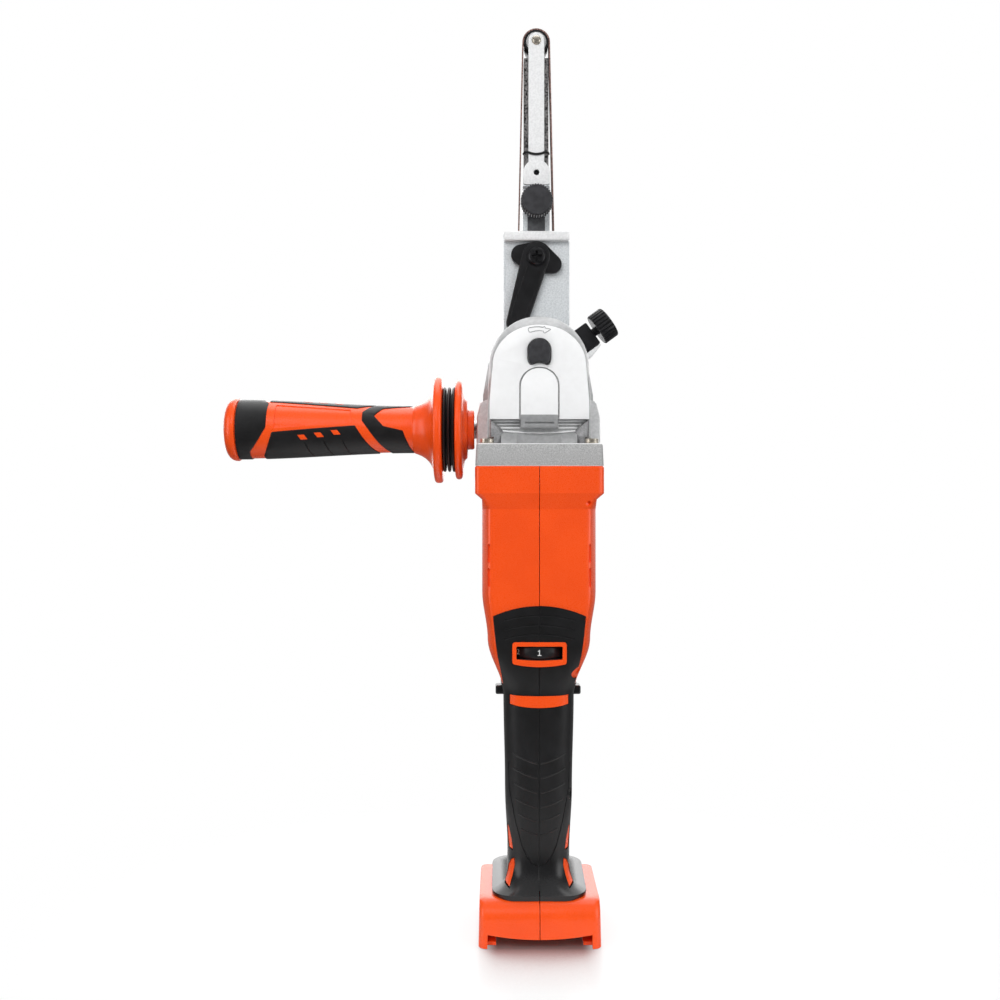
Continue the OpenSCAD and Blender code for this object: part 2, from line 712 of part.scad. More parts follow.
module switch_body() {
  color(plastic_black) {
    box(switch_w / 2 * [-1, 1], switch_y, switch_z);
    box([-4, 4], switch_y + [-4, -14], switch_z + [4, -16]);
  }
}
module selector_bar() {
  color(plastic_black) difference() {
    box(selector_len / 2 * [-1, 1], selector_d / 2 * [-1, 1], around(selector_z, selector_h / 2));
    box([-3, 3], [2, selector_d], [selector_z - selector_h, selector_z]);
  }
}

// Battery end
module terminal_block() {
  color(plastic_black) difference() {
    union() {
      box(block_w / 2 * [-1, 1], block_y, [1.2, block_top]);
      box((block_w / 2 + block_rim) * [-1, 1], block_y + block_rim * [-1, 1], [deck_z, deck_z + 2.4]);
    }
    for (k = [0 : contact_count - 1]) translate([(k - (contact_count - 1) / 2) * contact_pitch, 0, 0])
      box((contact_t / 2 + seat_gap) * [-1, 1], [-far, 9], [-1, block_top - 1.5]);
  }
}
module battery_contacts() {
  color(brass) for (k = [0 : contact_count - 1])
    translate([(k - (contact_count - 1) / 2) * contact_pitch, 0, 0])
      box(contact_t / 2 * [-1, 1], [block_y[0] + 2, 9], [1.6, block_top - 1.5]);
}
module controller_tray() {
  color(plastic_black) difference() {
    box(tray_w / 2 * [-1, 1], tray_y, [block_top, block_top + tray_h]);
    box((tray_w / 2 - tray_wall) * [-1, 1], tray_y + tray_wall * [1, -1], [block_top + tray_wall, far]);
  }
}
module control_board() {
  inset = tray_wall + free_gap;
  low = block_top + tray_wall;
  color(board_green) {
    box((tray_w / 2 - inset) * [-1, 1], tray_y + inset * [1, -1], [low, low + board_t]);
    for (x = [-14, -7, 0, 7]) box([x, x + 5], [-20, -14], [low + board_t - 0.1, low + board_t + 2.5]);
    translate([14, 4, low + board_t - 0.1]) cylinder(r = 4, h = 4.5);
    box([-16, -4], [0, 12], [low + board_t - 0.1, low + board_t + 1.5]);
  }
}

// Motor
module stator_core() {
  bore = rotor_dia / 2 + 0.6;
  color(dark_steel) translate([0, 0, stator_z]) linear_extrude(stator_len) difference() {
    circle(stator_r);
    circle(bore);
    for (k = [0 : 5]) rotate(60 * k) translate([bore + 1.6, -2.2]) square([stator_r - bore - 4.2, 4.4]);
  }
}
module stator_windings() {
  bore = rotor_dia / 2 + 1.6;
  color(copper) for (z = [stator_z - winding_h, stator_z + stator_len])
    translate([0, 0, z]) linear_extrude(winding_h) difference() {
      circle(stator_r - 1.6);
      circle(bore);
      for (k = [0 : 5]) rotate(60 * k) translate([stator_r - 1, 0]) circle(1.8);
    }
}
module rotor_core() {
  color(steel) translate([0, 0, stator_z - 1]) tube(rotor_dia / 2, shaft_r + seat_gap, stator_len + 2);
}
module motor_shaft() {
  step_low = stator_z - winding_h - 1;
  step_high = cast_top - 1.2;
  top = spindle_z - face_end * ring_r + 1.2;
  color(steel) {
    translate([0, 0, rear_bearing_z]) cylinder(r = shaft_end_r, h = step_low - rear_bearing_z + 1);
    translate([0, 0, step_low]) cylinder(r = shaft_r, h = step_high - step_low);
    translate([0, 0, step_high - 1]) cylinder(r = shaft_end_r, h = top - step_high + 1);
  }
}
module cooling_fan() {
  hub = shaft_r + 3;
  color(plastic_black) translate([0, 0, fan_z]) difference() {
    union() {
      cylinder(r = fan_dia / 2, h = fan_disc_t);
      cylinder(r = hub, h = fan_h);
      for (k = [0 : fan_blades - 1]) rotate(k * 360 / fan_blades) translate([hub - 0.8, 0, fan_disc_t - 0.4])
        rotate(-fan_rake) translate([0, -fan_blade_t / 2, 0])
          cube([fan_dia / 2 - hub - 3, fan_blade_t, fan_h - fan_disc_t - 0.6]);
    }
    translate([0, 0, -1]) cylinder(r = shaft_r + seat_gap, h = fan_h + 2);
  }
}
// Ball bearing drawn as two races joined by a thin shield
module bearing(outer, inner, h) {
  mid = (outer + inner) / 2;
  tube(outer, mid + 1, h);
  tube(mid - 1, inner, h);
  translate([0, 0, 0.6]) tube(mid + 1.2, mid - 1.2, h - 1.2);
}
module motor_front_bearing() {
  color(steel) translate([0, 0, front_bearing_z])
    bearing(front_bearing_r, shaft_r + run_gap, front_bearing_h);
}
module motor_rear_bearing() {
  color(steel) translate([0, 0, rear_bearing_z])
    bearing(rear_bearing_r, shaft_end_r + run_gap, rear_bearing_h);
}
module air_baffle() {
  color(plastic_black) translate([0, 0, collar_top - baffle_t]) tube(baffle_r, fan_dia / 2 - 8, baffle_t);
}
module pinion() {
  color(steel) translate([0, 0, spindle_z]) rotate([180, 0, 0]) difference() {
    union() {
      bevel_gear(pinion_teeth, pinion_r, ring_r, -90 + 180 / pinion_teeth, pinion_r - 1.4, ring_r + 1.4);
      translate([0, 0, ring_r + 1]) cylinder(r = pinion_shank_r, h = pinion_shank_end - ring_r - 1);
    }
    cylinder(r = shaft_end_r + seat_gap, h = far);
  }
}

// Gear head
module plate_screw_places(y) {
  for (k = [0 : 3]) along_y(y, spindle_z) rotate(45 + 90 * k) translate([plate_screw_ring, 0, 0]) children();
}
module head_blank() {
  translate([0, 0, collar_top]) linear_extrude(cast_h) rounded(collar_w / 2 - 0.3, collar_d / 2, 10);
  box((head_r + 0.2) * [-1, 1], [-head_front + rim, head_back], [cast_top - 1, cast_top + face_rise + 0.7]);
  foot_half = head_r + 1.1;
  prism_y([-head_front + rim, head_back])
    polygon([[-foot_half, cast_top + face_rise], [foot_half, cast_top + face_rise], [head_r, spindle_z],
      [-head_r, spindle_z]]);
  along_y(-head_front + rim, spindle_z) cylinder(r = head_r, h = head_front - rim + head_back);
  // front face, set in from the sides by a sloping rim
  along_y(-head_front, spindle_z) cylinder(r1 = head_r - rim + 1, r2 = head_r, h = rim);
  prism_y([-head_front, -head_front + rim + 1])
    polygon([[-head_r + rim - 1, cast_top + face_rise], [head_r - rim + 1, cast_top + face_rise],
      [head_r - rim + 1, spindle_z], [-head_r + rim - 1, spindle_z]]);
  // raised tongue below the button
  prism_y([-head_front - 0.6, -head_front + rim + 1]) {
    translate([-10, cast_top + 9]) square([20, 22]);
    translate([0, cast_top + 31]) circle(10);
  }
  along_x(-boss_x, 0, handle_z) cylinder(r = boss_radius, h = boss_span);
  for (sx = [-1, 1]) box(sx == 1 ? [head_r - 3, boss_x - 4] : [-boss_x + 4, -head_r + 3], [-5, 5],
    [handle_z, spindle_z + 3]);
}
module gear_housing() {
  color(cast_silver) difference() {
    union() {
      difference() {
        head_blank();
        along_y(cavity_front, spindle_z) cylinder(r = cavity_r, h = far);
        // exhaust louvres beside the tongue
        for (sx = [-1, 1]) for (k = [0 : 2])
          translate([sx * louvre_x, -head_front + rim + 1, cast_top + 3.4 + louvre_pitch * k])
            cube([louvre_w, 4, louvre_h], center = true);
      }
      along_y(cavity_front - 1, spindle_z) cylinder(r = needle_r + 2, h = needle_len + 1);
    }
    translate([0, 0, cast_top - 2]) cylinder(r = pinion_r + tooth_add + 1.4, h = spindle_rise);
    translate([0, 0, collar_top - 1])
      cylinder(r = front_bearing_r + seat_gap, h = front_bearing_z - collar_top + front_bearing_h + 1);
    along_y(needle_y, spindle_z) cylinder(r = needle_r + seat_gap, h = needle_len + 1);
    // button pocket and pin hole
    prism_y([-far, pocket_floor]) {
      translate([-button_r - free_gap, button_z - free_gap])
        square([button_w + 2 * free_gap, button_flat + free_gap]);
      translate([0, button_z + button_flat]) circle(button_r + free_gap);
    }
    along_y(-head_front, spindle_z + pin_offset) cylinder(r = pin_r + run_gap, h = head_front);
    // handle sockets, one each side
    for (sx = [0, 180]) rotate([0, 0, sx]) along_x(boss_x - handle_thread_depth, 0, handle_z)
      cylinder(r = thread_r + run_gap, h = handle_thread_depth + 1);
    for (sx = [-1, 1]) for (sy = [-1, 1]) translate([sx * cast_screw_x, sy * cast_screw_y, 0]) {
      translate([0, 0, collar_top - 1]) cylinder(r = cast_screw_r + run_gap, h = cast_h + 2);
      translate([0, 0, cast_top]) cylinder(r = 4.2, h = 12);
    }
    plate_screw_places(head_back - plate_screw_len - 1)
      cylinder(r = plate_screw_r + run_gap, h = plate_screw_len + 2);
  }
}
module gear_housing_screws() {
  color(dark_steel) for (sx = [-1, 1]) for (sy = [-1, 1])
    translate([sx * cast_screw_x, sy * cast_screw_y, cast_top]) {
      translate([0, 0, -cast_screw_len]) cylinder(r = cast_screw_r, h = cast_screw_len + 0.2);
      difference() {
        cylinder(r = 3.6, h = 2.6);
        translate([0, 0, 1.2]) cylinder(r = 1.8, h = 2, $fn = 6);
      }
    }
}
module lock_button() {
  color(plastic_black) {
    prism_y([button_rest_y, button_rest_y + button_t]) {
      translate([-button_r, button_z]) square([button_w, button_flat]);
      translate([0, button_z + button_flat]) circle(button_r);
    }
    along_y(button_rest_y + button_t - 1, spindle_z + pin_offset)
      cylinder(r = pin_r, h = pin_tip_y - button_rest_y - button_t + 1);
  }
}
module lock_spring() {
  color(steel) along_y(button_rest_y + button_t, spindle_z + pin_offset)
    coil(3, 0.35, button_travel + 0.2, 2.5);
}
module ring_gear() {
  color(steel) translate([0, 0, spindle_z]) rotate([-90, 0, 0]) difference() {
    union() {
      bevel_gear(ring_teeth, ring_r, pinion_r, 90, ring_r - 1.2, pinion_r + 4.2);
      translate([0, 0, pinion_r + 4]) cylinder(r = spindle_r + 3, h = head_back - 1 - pinion_r - 4);
    }
    translate([0, 0, -1]) cylinder(r = spindle_r + seat_gap, h = far);
    for (k = [0 : lock_holes - 1]) rotate(k * 360 / lock_holes) translate([pin_offset, 0, -1])
      cylinder(r = pin_r + free_gap, h = pinion_r + 4);
  }
}
module spindle() {
  color(steel) difference() {
    union() {
      along_y(needle_y, spindle_z) cylinder(r = spindle_nose_r, h = needle_len + 1);
      along_y(needle_y + needle_len + 0.3, spindle_z)
        cylinder(r = spindle_r, h = hub_y - needle_y - needle_len - 0.3);
      along_y(head_back - 0.8, spindle_z) cylinder(r = spindle_r + 1.5, h = ball_y - head_back + 0.7);
      along_y(hub_y - 1, spindle_z) cylinder(r = wheel_seat_r, h = wheel_w + 1);
    }
    along_y(wheel_end - 12, spindle_z) cylinder(r = wheel_screw_r + run_gap, h = 13);
  }
}
module needle_bearing() {
  color(steel) along_y(needle_y, spindle_z) tube(needle_r, spindle_nose_r + run_gap, needle_len);
}
module ball_bearing() {
  color(steel) along_y(ball_y, spindle_z) bearing(ball_r, spindle_r + run_gap, ball_w);
}
module bearing_plate() {
  color(cast_silver) difference() {
    union() {
      along_y(head_back, spindle_z) cylinder(r = head_r, h = plate_t);
      along_y(head_back, spindle_z) cylinder(r = neck_r, h = plate_t + neck_len);
    }
    along_y(head_back - 1, spindle_z) cylinder(r = spindle_r + 2.5, h = far);
    along_y(ball_y, spindle_z) cylinder(r = ball_r + seat_gap, h = far);
    plate_screw_places(head_back) {
      translate([0, 0, -1]) cylinder(r = plate_screw_r + run_gap, h = plate_t + 2);
      translate([0, 0, plate_t - 2.2]) cylinder(r = plate_screw_head_r + run_gap, h = 3);
    }
  }
}
module bearing_plate_screws() {
  color(dark_steel) plate_screw_places(head_back) {
    translate([0, 0, -plate_screw_len]) cylinder(r = plate_screw_r, h = plate_screw_len + plate_t - 2);
    translate([0, 0, plate_t - 2.2]) difference() {
      cylinder(r = plate_screw_head_r, h = 2);
      translate([0, 0, 1]) cylinder(r = 1.3, h = 2, $fn = 6);
    }
  }
}

// Arm housing
module arm_outline(grow) {
  translate([0, spindle_z]) circle(ring_out_r + grow);
  translate([-arm_half - grow, spindle_z]) square([arm_w + 2 * grow, arm_len]);
}
module clamp_frame() { translate([0, 0, spindle_z]) rotate([0, -clamp_angle, 0]) children(); }
module arm_housing() {
  color(paint_grey) difference() {
    union() {
      difference() {
        prism_y([plate_y, bay_end]) arm_outline(0);
        prism_y([neck_end, bay_end + 1]) {
          arm_outline(-arm_wall);
          translate([-arm_half + arm_wall, lip_top - 10]) square([arm_w - 2 * arm_wall, 20]);
        }
      }
      along_y(ring_y, spindle_z) cylinder(r = ring_out_r - 0.5, h = plate_y + 1 - ring_y);
      box((arm_half - 0.4) * [-1, 1], [plate_y - lip_proud, plate_y + 1], [lip_z, lip_top]);
      // slider guides and the seat of the tension spring
      for (sx = [0, 1]) mirror([sx, 0, 0])
        box(from(slider_w / 2 + free_gap, guide_w), [neck_end - 1, neck_end + guide_h],
          [slider_z[0] + 1, root_z - arm_travel - 3]);
      box((slider_w / 2 + free_gap + guide_w) * [-1, 1], [neck_end - 1, slider_y[1]],
        [seat_z, seat_z + seat_t]);
      for (s = cover_sites) translate([s[0], 0, 0]) along_y(neck_end - 1, s[1])
        cylinder(r = cover_boss_r, h = bay_end - neck_end + 1);
      clamp_frame() box([neck_r + 2, clamp_seat], around(clamp_y, clamp_d / 2),
        (clamp_block_w / 2 + 0.6) * [-1, 1]);
    }
    along_y(0, spindle_z) cylinder(r = neck_r + run_gap, h = neck_end + 0.1);
    clamp_frame() along_x(0, clamp_y, 0) cylinder(r = clamp_stud_r + run_gap, h = far);
    // slot that the lever screw slides in
    prism_y([0, neck_end + 1]) {
      translate([-lever_bore_r - free_gap, pivot_z - arm_travel])
        square([2 * (lever_bore_r + free_gap), arm_travel]);
      for (z = [pivot_z, pivot_z - arm_travel]) translate([0, z]) circle(lever_bore_r + free_gap);
    }
    for (s = cover_sites) translate([s[0], 0, 0]) along_y(bay_end - cover_screw_len - 1, s[1])
      cylinder(r = cover_screw_r + run_gap, h = cover_screw_len + 2);
  }
}
module belt_cover() {
  color(paint_grey) difference() {
    prism_y([bay_end, bay_end + cover_t]) arm_outline(0);
    for (s = cover_sites) translate([s[0], 0, 0]) along_y(bay_end - 1, s[1])
      cylinder(r = cover_screw_r + run_gap, h = cover_t + 2);
  }
}
module cover_screws() {
  color(dark_steel) for (s = cover_sites) translate([s[0], 0, 0]) along_y(bay_end + cover_t, s[1]) {
    translate([0, 0, -cover_t - cover_screw_len])
      cylinder(r = cover_screw_r, h = cover_t + cover_screw_len + 0.2);
    difference() {
      cylinder(r = 2.7, h = 1.7);
      translate([0, 0, 0.7]) cylinder(r = 1.2, h = 2, $fn = 6);
    }
  }
}
module clamp_block() {
  color(plastic_black) clamp_frame() difference() {
    box([clamp_seat, clamp_reach], around(clamp_y, clamp_d / 2), clamp_block_w / 2 * [-1, 1]);
    along_x(0, clamp_y, 0) cylinder(r = clamp_stud_r + run_gap, h = far);
  }
}
module clamp_knob() {
  color(plastic_black) clamp_frame() {
    along_x(neck_r + free_gap, clamp_y, 0)
      cylinder(r = clamp_stud_r, h = clamp_reach + clamp_knob_gap - neck_r - free_gap + 1);
    along_x(clamp_reach + clamp_knob_gap, clamp_y, 0) grooved_knob(clamp_dia / 2, clamp_knob_t, knob_grooves);
  }
}
module drive_wheel_hub() {
  color(steel) along_y(hub_y, spindle_z) tube(wheel_hub_r, wheel_seat_r + seat_gap, wheel_w);
}
module drive_wheel_tyre() {
  color(soft_black) along_y(hub_y, spindle_z) tube(wheel_r, wheel_hub_r + seat_gap, wheel_w);
}
module wheel_screw() {
  color(dark_steel) {
    along_y(wheel_end - 11, spindle_z) cylinder(r = wheel_screw_r, h = 11.2);
    along_y(wheel_end, spindle_z) difference() {
      cylinder(r = wheel_seat_r + 2, h = wheel_screw_head);
      translate([0, 0, 1]) cylinder(r = 1.8, h = 3, $fn = 6);
    }
  }
}

// Moving arm
module arm_slider() {
  color(dark_steel) difference() {
    box(slider_w / 2 * [-1, 1], slider_y, slider_z);
    along_y(slider_y[0] - 1, pivot_z) cylinder(r = lever_bore_r + seat_gap, h = slider_bore + 1);
  }
}
module tension_spring() {
  low = seat_z + seat_t;
  color(steel) translate([0, (slider_y[0] + slider_y[1]) / 2, low]) coil(4, 0.6, slider_z[0] - low, 6);
}
module tension_lever() {
  lobes = [[-9.1, 1.4, 5.8], [9.3, -4.2, 5.3]];
  color(plastic_black) translate([0, 0, pivot_z]) difference() {
    prism_y([lever_y, lever_y + lever_t]) {
      for (l = lobes) hull() {
        circle(lever_head_r, $fn = 40);
        translate([l[0], l[1]]) circle(l[2], $fn = 32);
      }
      hull() {
        translate([-1.5, -3]) circle(7, $fn = 32);
        translate(lever_tail) circle(lever_tail_r, $fn = 32);
      }
    }
    along_y(0, 0) cylinder(r = lever_bore_r + run_gap, h = far);
  }
}
module lever_screw() {
  color(steel) {
    along_y(lever_y - 0.2, pivot_z) cylinder(r = lever_bore_r, h = slider_y[0] + slider_bore - 1 - lever_y);
    along_y(lever_y - 2.8, pivot_z) difference() {
      cylinder(r = 5.4, h = 2.6);
      translate([0, 0, -1]) linear_extrude(2.2) {
        square([5, 1.2], center = true);
        square([1.2, 5], center = true);
      }
    }
  }
}
module arm_root() {
  front = file_y[0] - cheek_t;
  back = wheel_end;
  color(paint_grey) difference() {
    union() {
      box(root_half * [-1, 1], [slider_y[0] + 1, back], [root_z, root_top]);
      prism_y([front, file_y[0]]) {
        translate([-tab_r, knob_z + 10]) square([2 * tab_r, tab_z - knob_z - 10]);
        translate([0, tab_z]) circle(tab_r);
      }
      box(tab_r * [-1, 1], [front, back], [knob_z + 10, root_top]);
    }
    box((slider_w / 2 + seat_gap) * [-1, 1], [0, slider_y[1] + seat_gap], [0, knob_z + 8]);
    along_y(0, tab_z) cylinder(r = tab_hole_r, h = far);
    along_y(0, knob_z) cylinder(r = clamp_stud_r + run_gap, h = far);
  }
}
module file_arm() {
  half = file_w / 2;
  slot = [hub_y - 0.2, wheel_end + 0.2];
  color(paint_grey) difference() {
    prism_y(file_y) {
      translate([-half, root_top]) square([file_w, tip_z - root_top]);
      translate([0, tip_z]) circle(half);
    }
    box(far * [-1, 1], slot, [platen_z[1] + 0.4, far * 4]);
    along_y(0, tip_z) cylinder(r = tip_pin_r + seat_gap, h = far);
    along_y(0, tab_z) cylinder(r = tab_hole_r, h = far);
  }
}
module platens() {
  color(plastic_black) for (sx = [0, 1]) mirror([sx, 0, 0])
    box(from(file_w / 2, platen_t), from(belt_y, belt_w), platen_z);
}
module tracking_knob() {
  color(plastic_black) {
    along_y(tracking_y, knob_z) grooved_knob(tracking_dia / 2, tracking_t, 24);
    along_y(tracking_y + 1, knob_z) cylinder(r = clamp_stud_r, h = wheel_end - tracking_y - 2);
  }
}
module tip_roller_hub() {
  color(steel) along_y(hub_y, tip_z) tube(tip_hub_r, tip_pin_r + run_gap, wheel_w);
}
module tip_roller_tyre() {
  color(soft_black) along_y(hub_y, tip_z) tube(tip_r, tip_hub_r + seat_gap, wheel_w);
}
module tip_pin() {
  color(steel) {
    along_y(file_y[0], tip_z) cylinder(r = tip_pin_r, h = file_y[1] - file_y[0]);
    for (y = [file_y[0] - 1, file_y[1]]) along_y(y, tip_z) cylinder(r = tip_head_r, h = 1);
  }
}
// Loop round the wheel and the tip roller, with straight runs along their outer tangents
function belt_loop(wheel, tip) =
  let (lean = asin((wheel - tip) / belt_centres), n = 24)
  concat(
    [for (k = [0 : n]) let (a = mix(lean, 180 - lean, k / n)) [tip * cos(a), tip_z + tip * sin(a)]],
    [for (k = [0 : n]) let (a = mix(180 - lean, 360 + lean, k / n))
      [wheel * cos(a), spindle_z + wheel * sin(a)]]);
module abrasive_belt() {
  color(belt_brown) prism_y([belt_y, belt_y + belt_w]) difference() {
    polygon(belt_loop(belt_wheel_r + belt_t, belt_tip_r + belt_t));
    polygon(belt_loop(belt_wheel_r, belt_tip_r));
  }
}

// Side handle, turned about its own axis and laid along -X
module handle_turn() { translate([0, 0, handle_z]) rotate([0, -90, 0]) rotate_extrude() children(); }
module handle_stud() {
  color(steel) along_x(-guard_x - stud_hold, 0, handle_z)
    cylinder(r = thread_r, h = guard_x + stud_hold - boss_x + handle_thread_depth - 0.5);
}
module handle_flange() {
  bore = thread_r + seat_gap;
  step_x = hub_x + hub_len;
  face_x = step_x + step_len;
  color(orange) handle_turn() polygon([[bore, hub_x], [handle_hub_r, hub_x], [handle_hub_r, step_x],
    [handle_step_r, step_x], [handle_step_r, face_x], [inner_flange_dia / 2, face_x],
    [inner_flange_dia / 2, damper_x], [bore, damper_x]]);
}
module handle_damper() {
  r = damper_dia / 2;
  low = r - 3.6;
  step = damper_len / 5;
  color(soft_black) handle_turn() polygon(concat([[thread_r + seat_gap, damper_x]],
    [for (k = [0 : 4]) let (d = k % 2 == 0 ? r : low)
      each [[d, damper_x + k * step], [d, damper_x + (k + 1) * step]]],
    [[thread_r + seat_gap, guard_x]]));
}
module handle_core() {
  bore = thread_r + seat_gap;
  bore_end = guard_x + stud_hold + 1;
  color(orange) handle_turn() polygon(concat(
    [[0, bore_end], [bore, bore_end], [bore, guard_x], [guard_dia / 2, guard_x], [guard_dia / 2, grip_x],
     [handle_neck_r + 6, grip_x], [handle_neck_r, grip_start - 4], [handle_neck_r, grip_start]],
    [for (x = grip_marks) [handle_r(x) - handle_soft_t - seat_gap, x]], [[0, handle_end_x]]));
}
module handle_overmould() {
  marks = [for (x = grip_marks) x == grip_start ? x + seat_gap : x];
  color(soft_black) handle_turn() polygon(concat(
    [for (k = [0 : 4]) [handle_r(grip_marks[k]), marks[k]]],
    [for (k = [4 : -1 : 0]) [handle_r(grip_marks[k]) - handle_soft_t, marks[k]]]));
}
module handle_end_cap() {
  r = handle_end_r + 1;
  tip_x = handle_end_x + cap_len;
  color(orange) handle_turn() polygon([[0, handle_end_x], [r, handle_end_x], [r, handle_end_x + 3],
    [r - 3, tip_x - 1.4], [r - 9, tip_x], [0, tip_x]]);
}

housing_left();
housing_right();
overmould_left();
overmould_right();
housing_screws();
speed_dial();
dial_potentiometer();
trigger();
trigger_spring();
switch_body();
selector_bar();
controller_tray();
control_board();
terminal_block();
battery_contacts();
stator_core();
stator_windings();
rotor_core();
motor_shaft();
cooling_fan();
motor_front_bearing();
motor_rear_bearing();
air_baffle();
pinion();
gear_housing();
gear_housing_screws();
lock_button();
lock_spring();
ring_gear();
spindle();
needle_bearing();
ball_bearing();
bearing_plate();
bearing_plate_screws();
arm_housing();
belt_cover();
cover_screws();
clamp_block();
clamp_knob();
drive_wheel_hub();
drive_wheel_tyre();
wheel_screw();
arm_slider();
tension_spring();
tension_lever();
lever_screw();
arm_root();
file_arm();
platens();
tracking_knob();
tip_roller_hub();
tip_roller_tyre();
tip_pin();
abrasive_belt();
handle_stud();
handle_flange();
handle_damper();
handle_core();
handle_overmould();
handle_end_cap();
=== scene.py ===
import bpy, bmesh, json, math
from mathutils import Matrix, Vector


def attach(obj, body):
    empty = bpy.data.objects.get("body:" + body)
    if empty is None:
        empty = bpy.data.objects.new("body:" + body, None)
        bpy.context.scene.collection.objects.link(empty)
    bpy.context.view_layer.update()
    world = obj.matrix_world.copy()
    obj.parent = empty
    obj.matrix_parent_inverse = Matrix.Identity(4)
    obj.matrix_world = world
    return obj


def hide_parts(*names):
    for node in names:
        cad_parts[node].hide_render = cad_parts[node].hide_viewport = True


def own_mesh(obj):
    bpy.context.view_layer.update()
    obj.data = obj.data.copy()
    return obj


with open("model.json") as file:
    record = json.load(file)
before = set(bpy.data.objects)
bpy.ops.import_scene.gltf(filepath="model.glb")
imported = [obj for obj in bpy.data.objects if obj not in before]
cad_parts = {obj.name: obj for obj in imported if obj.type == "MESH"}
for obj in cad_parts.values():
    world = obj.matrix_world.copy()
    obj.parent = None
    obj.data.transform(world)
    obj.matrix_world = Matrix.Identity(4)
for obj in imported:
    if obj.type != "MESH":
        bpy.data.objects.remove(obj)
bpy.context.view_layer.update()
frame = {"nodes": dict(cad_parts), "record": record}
nodes = frame["nodes"]
scene = bpy.context.scene
scene.view_settings.view_transform = "Standard"
mm = 0.001
print("frame loaded,", len(nodes), "nodes")


# ways of working, all sizes in mm

def wake(obj):
    bpy.ops.object.select_all(action="DESELECT")
    obj.select_set(True)
    bpy.context.view_layer.objects.active = obj


def newest(name):
    obj = bpy.context.object
    obj.name = obj.data.name = name
    return obj


def fixPlace(obj):  # put the object's place, turn and size into its mesh
    wake(obj)
    bpy.ops.object.transform_apply(location=True, rotation=True, scale=True)
    return obj


def editStart(obj, kind="FACE", pick="SELECT"):
    wake(obj)
    bpy.ops.object.mode_set(mode="EDIT")
    bpy.ops.mesh.select_mode(type=kind)
    bpy.ops.mesh.select_all(action=pick)


def editStop():
    bpy.ops.object.mode_set(mode="OBJECT")


def choose(obj, test, kind="faces"):
    mesh = bmesh.from_edit_mesh(obj.data)
    for item in getattr(mesh, kind):
        if test(item):
            item.select_set(True)
    mesh.select_flush_mode()
    bmesh.update_edit_mesh(obj.data)


def mend(obj, merge=0.001):  # merge doubles, then turn every face outwards
    editStart(obj, "VERT")
    bpy.ops.mesh.remove_doubles(threshold=merge * mm)
    bpy.ops.mesh.normals_make_consistent(inside=False)
    editStop()
    return obj


def addTool(obj, kind, **settings):
    tool = obj.modifiers.new(kind.lower(), kind)
    for key, value in settings.items():
        setattr(tool, key, value)
    return tool


def shapeBy(obj, kind, **settings):  # add a modifier and apply it
    wake(obj)
    bpy.ops.object.modifier_apply(modifier=addTool(obj, kind, **settings).name)
    return obj


def soften(obj, width, segments=3, angle=30):
    return shapeBy(obj, "BEVEL", width=width * mm, segments=segments, limit_method="ANGLE",
                   angle_limit=math.radians(angle), miter_outer="MITER_ARC")


def cut(obj, *tools, way="DIFFERENCE"):
    for tool in tools:
        shapeBy(obj, "BOOLEAN", object=tool, operation=way, solver="MANIFOLD")
        bpy.data.meshes.remove(tool.data)
    return obj


def weld(obj, *pieces):
    return cut(obj, *pieces, way="UNION")


def block(name, low, high, bevel=0, segments=3):
    centre = [(a + b) / 2 * mm for a, b in zip(low, high)]
    bpy.ops.mesh.primitive_cube_add(size=1, location=centre)
    obj = newest(name)
    obj.scale = [(b - a) * mm for a, b in zip(low, high)]
    fixPlace(obj)
    if bevel:
        soften(obj, bevel, segments)
    return obj


# each axis: its direction, and how a cylinder turns to lie along it
ways = {"X": ((1, 0, 0), (0, math.pi / 2, 0)), "Y": ((0, 1, 0), (-math.pi / 2, 0, 0)),
        "Z": ((0, 0, 1), (0, 0, 0))}


def rod(name, axis, start, length, radius, sides=48, bevel=0):  # start is the centre of one end
    step, turn = ways[axis]
    centre = [(a + b * length / 2) * mm for a, b in zip(start, step)]
    bpy.ops.mesh.primitive_cylinder_add(vertices=sides, radius=radius * mm, depth=abs(length) * mm,
                                        location=centre, rotation=turn)
    obj = fixPlace(newest(name))
    if bevel:
        soften(obj, bevel, angle=50)
    return obj


def loft(name, rings, hollow=False):  # rings of points; a hollow one's last ring meets its first
    bpy.ops.mesh.primitive_circle_add(vertices=len(rings[0]), radius=1, fill_type="NGON")
    obj = newest(name)
    editStart(obj)
    for step, ring in enumerate(rings):
        if step:
            bpy.ops.mesh.extrude_region_move()
        mesh = bmesh.from_edit_mesh(obj.data)
        face = [f for f in mesh.faces if f.select][0]
        for vert, point in zip(face.verts, ring):
            vert.co = Vector(point) * mm
        bmesh.update_edit_mesh(obj.data)
    if hollow:
        bpy.ops.mesh.select_all(action="DESELECT")
        choose(obj, lambda f: len(f.verts) == len(rings[0]))
        bpy.ops.mesh.delete(type="ONLY_FACE")
        bpy.ops.mesh.select_mode(type="EDGE")
        choose(obj, lambda e: e.is_boundary, "edges")
        bpy.ops.mesh.bridge_edge_loops()
    editStop()
    return mend(obj)


def prism(name, outline, y0, y1, bevel=0, segments=3, angle=30):  # outline of (x, z), drawn from y0 to y1
    obj = loft(name, [[(x, y, z) for x, z in outline] for y in (y0, y1)])
    if bevel:
        soften(obj, bevel, segments, angle)
    return obj


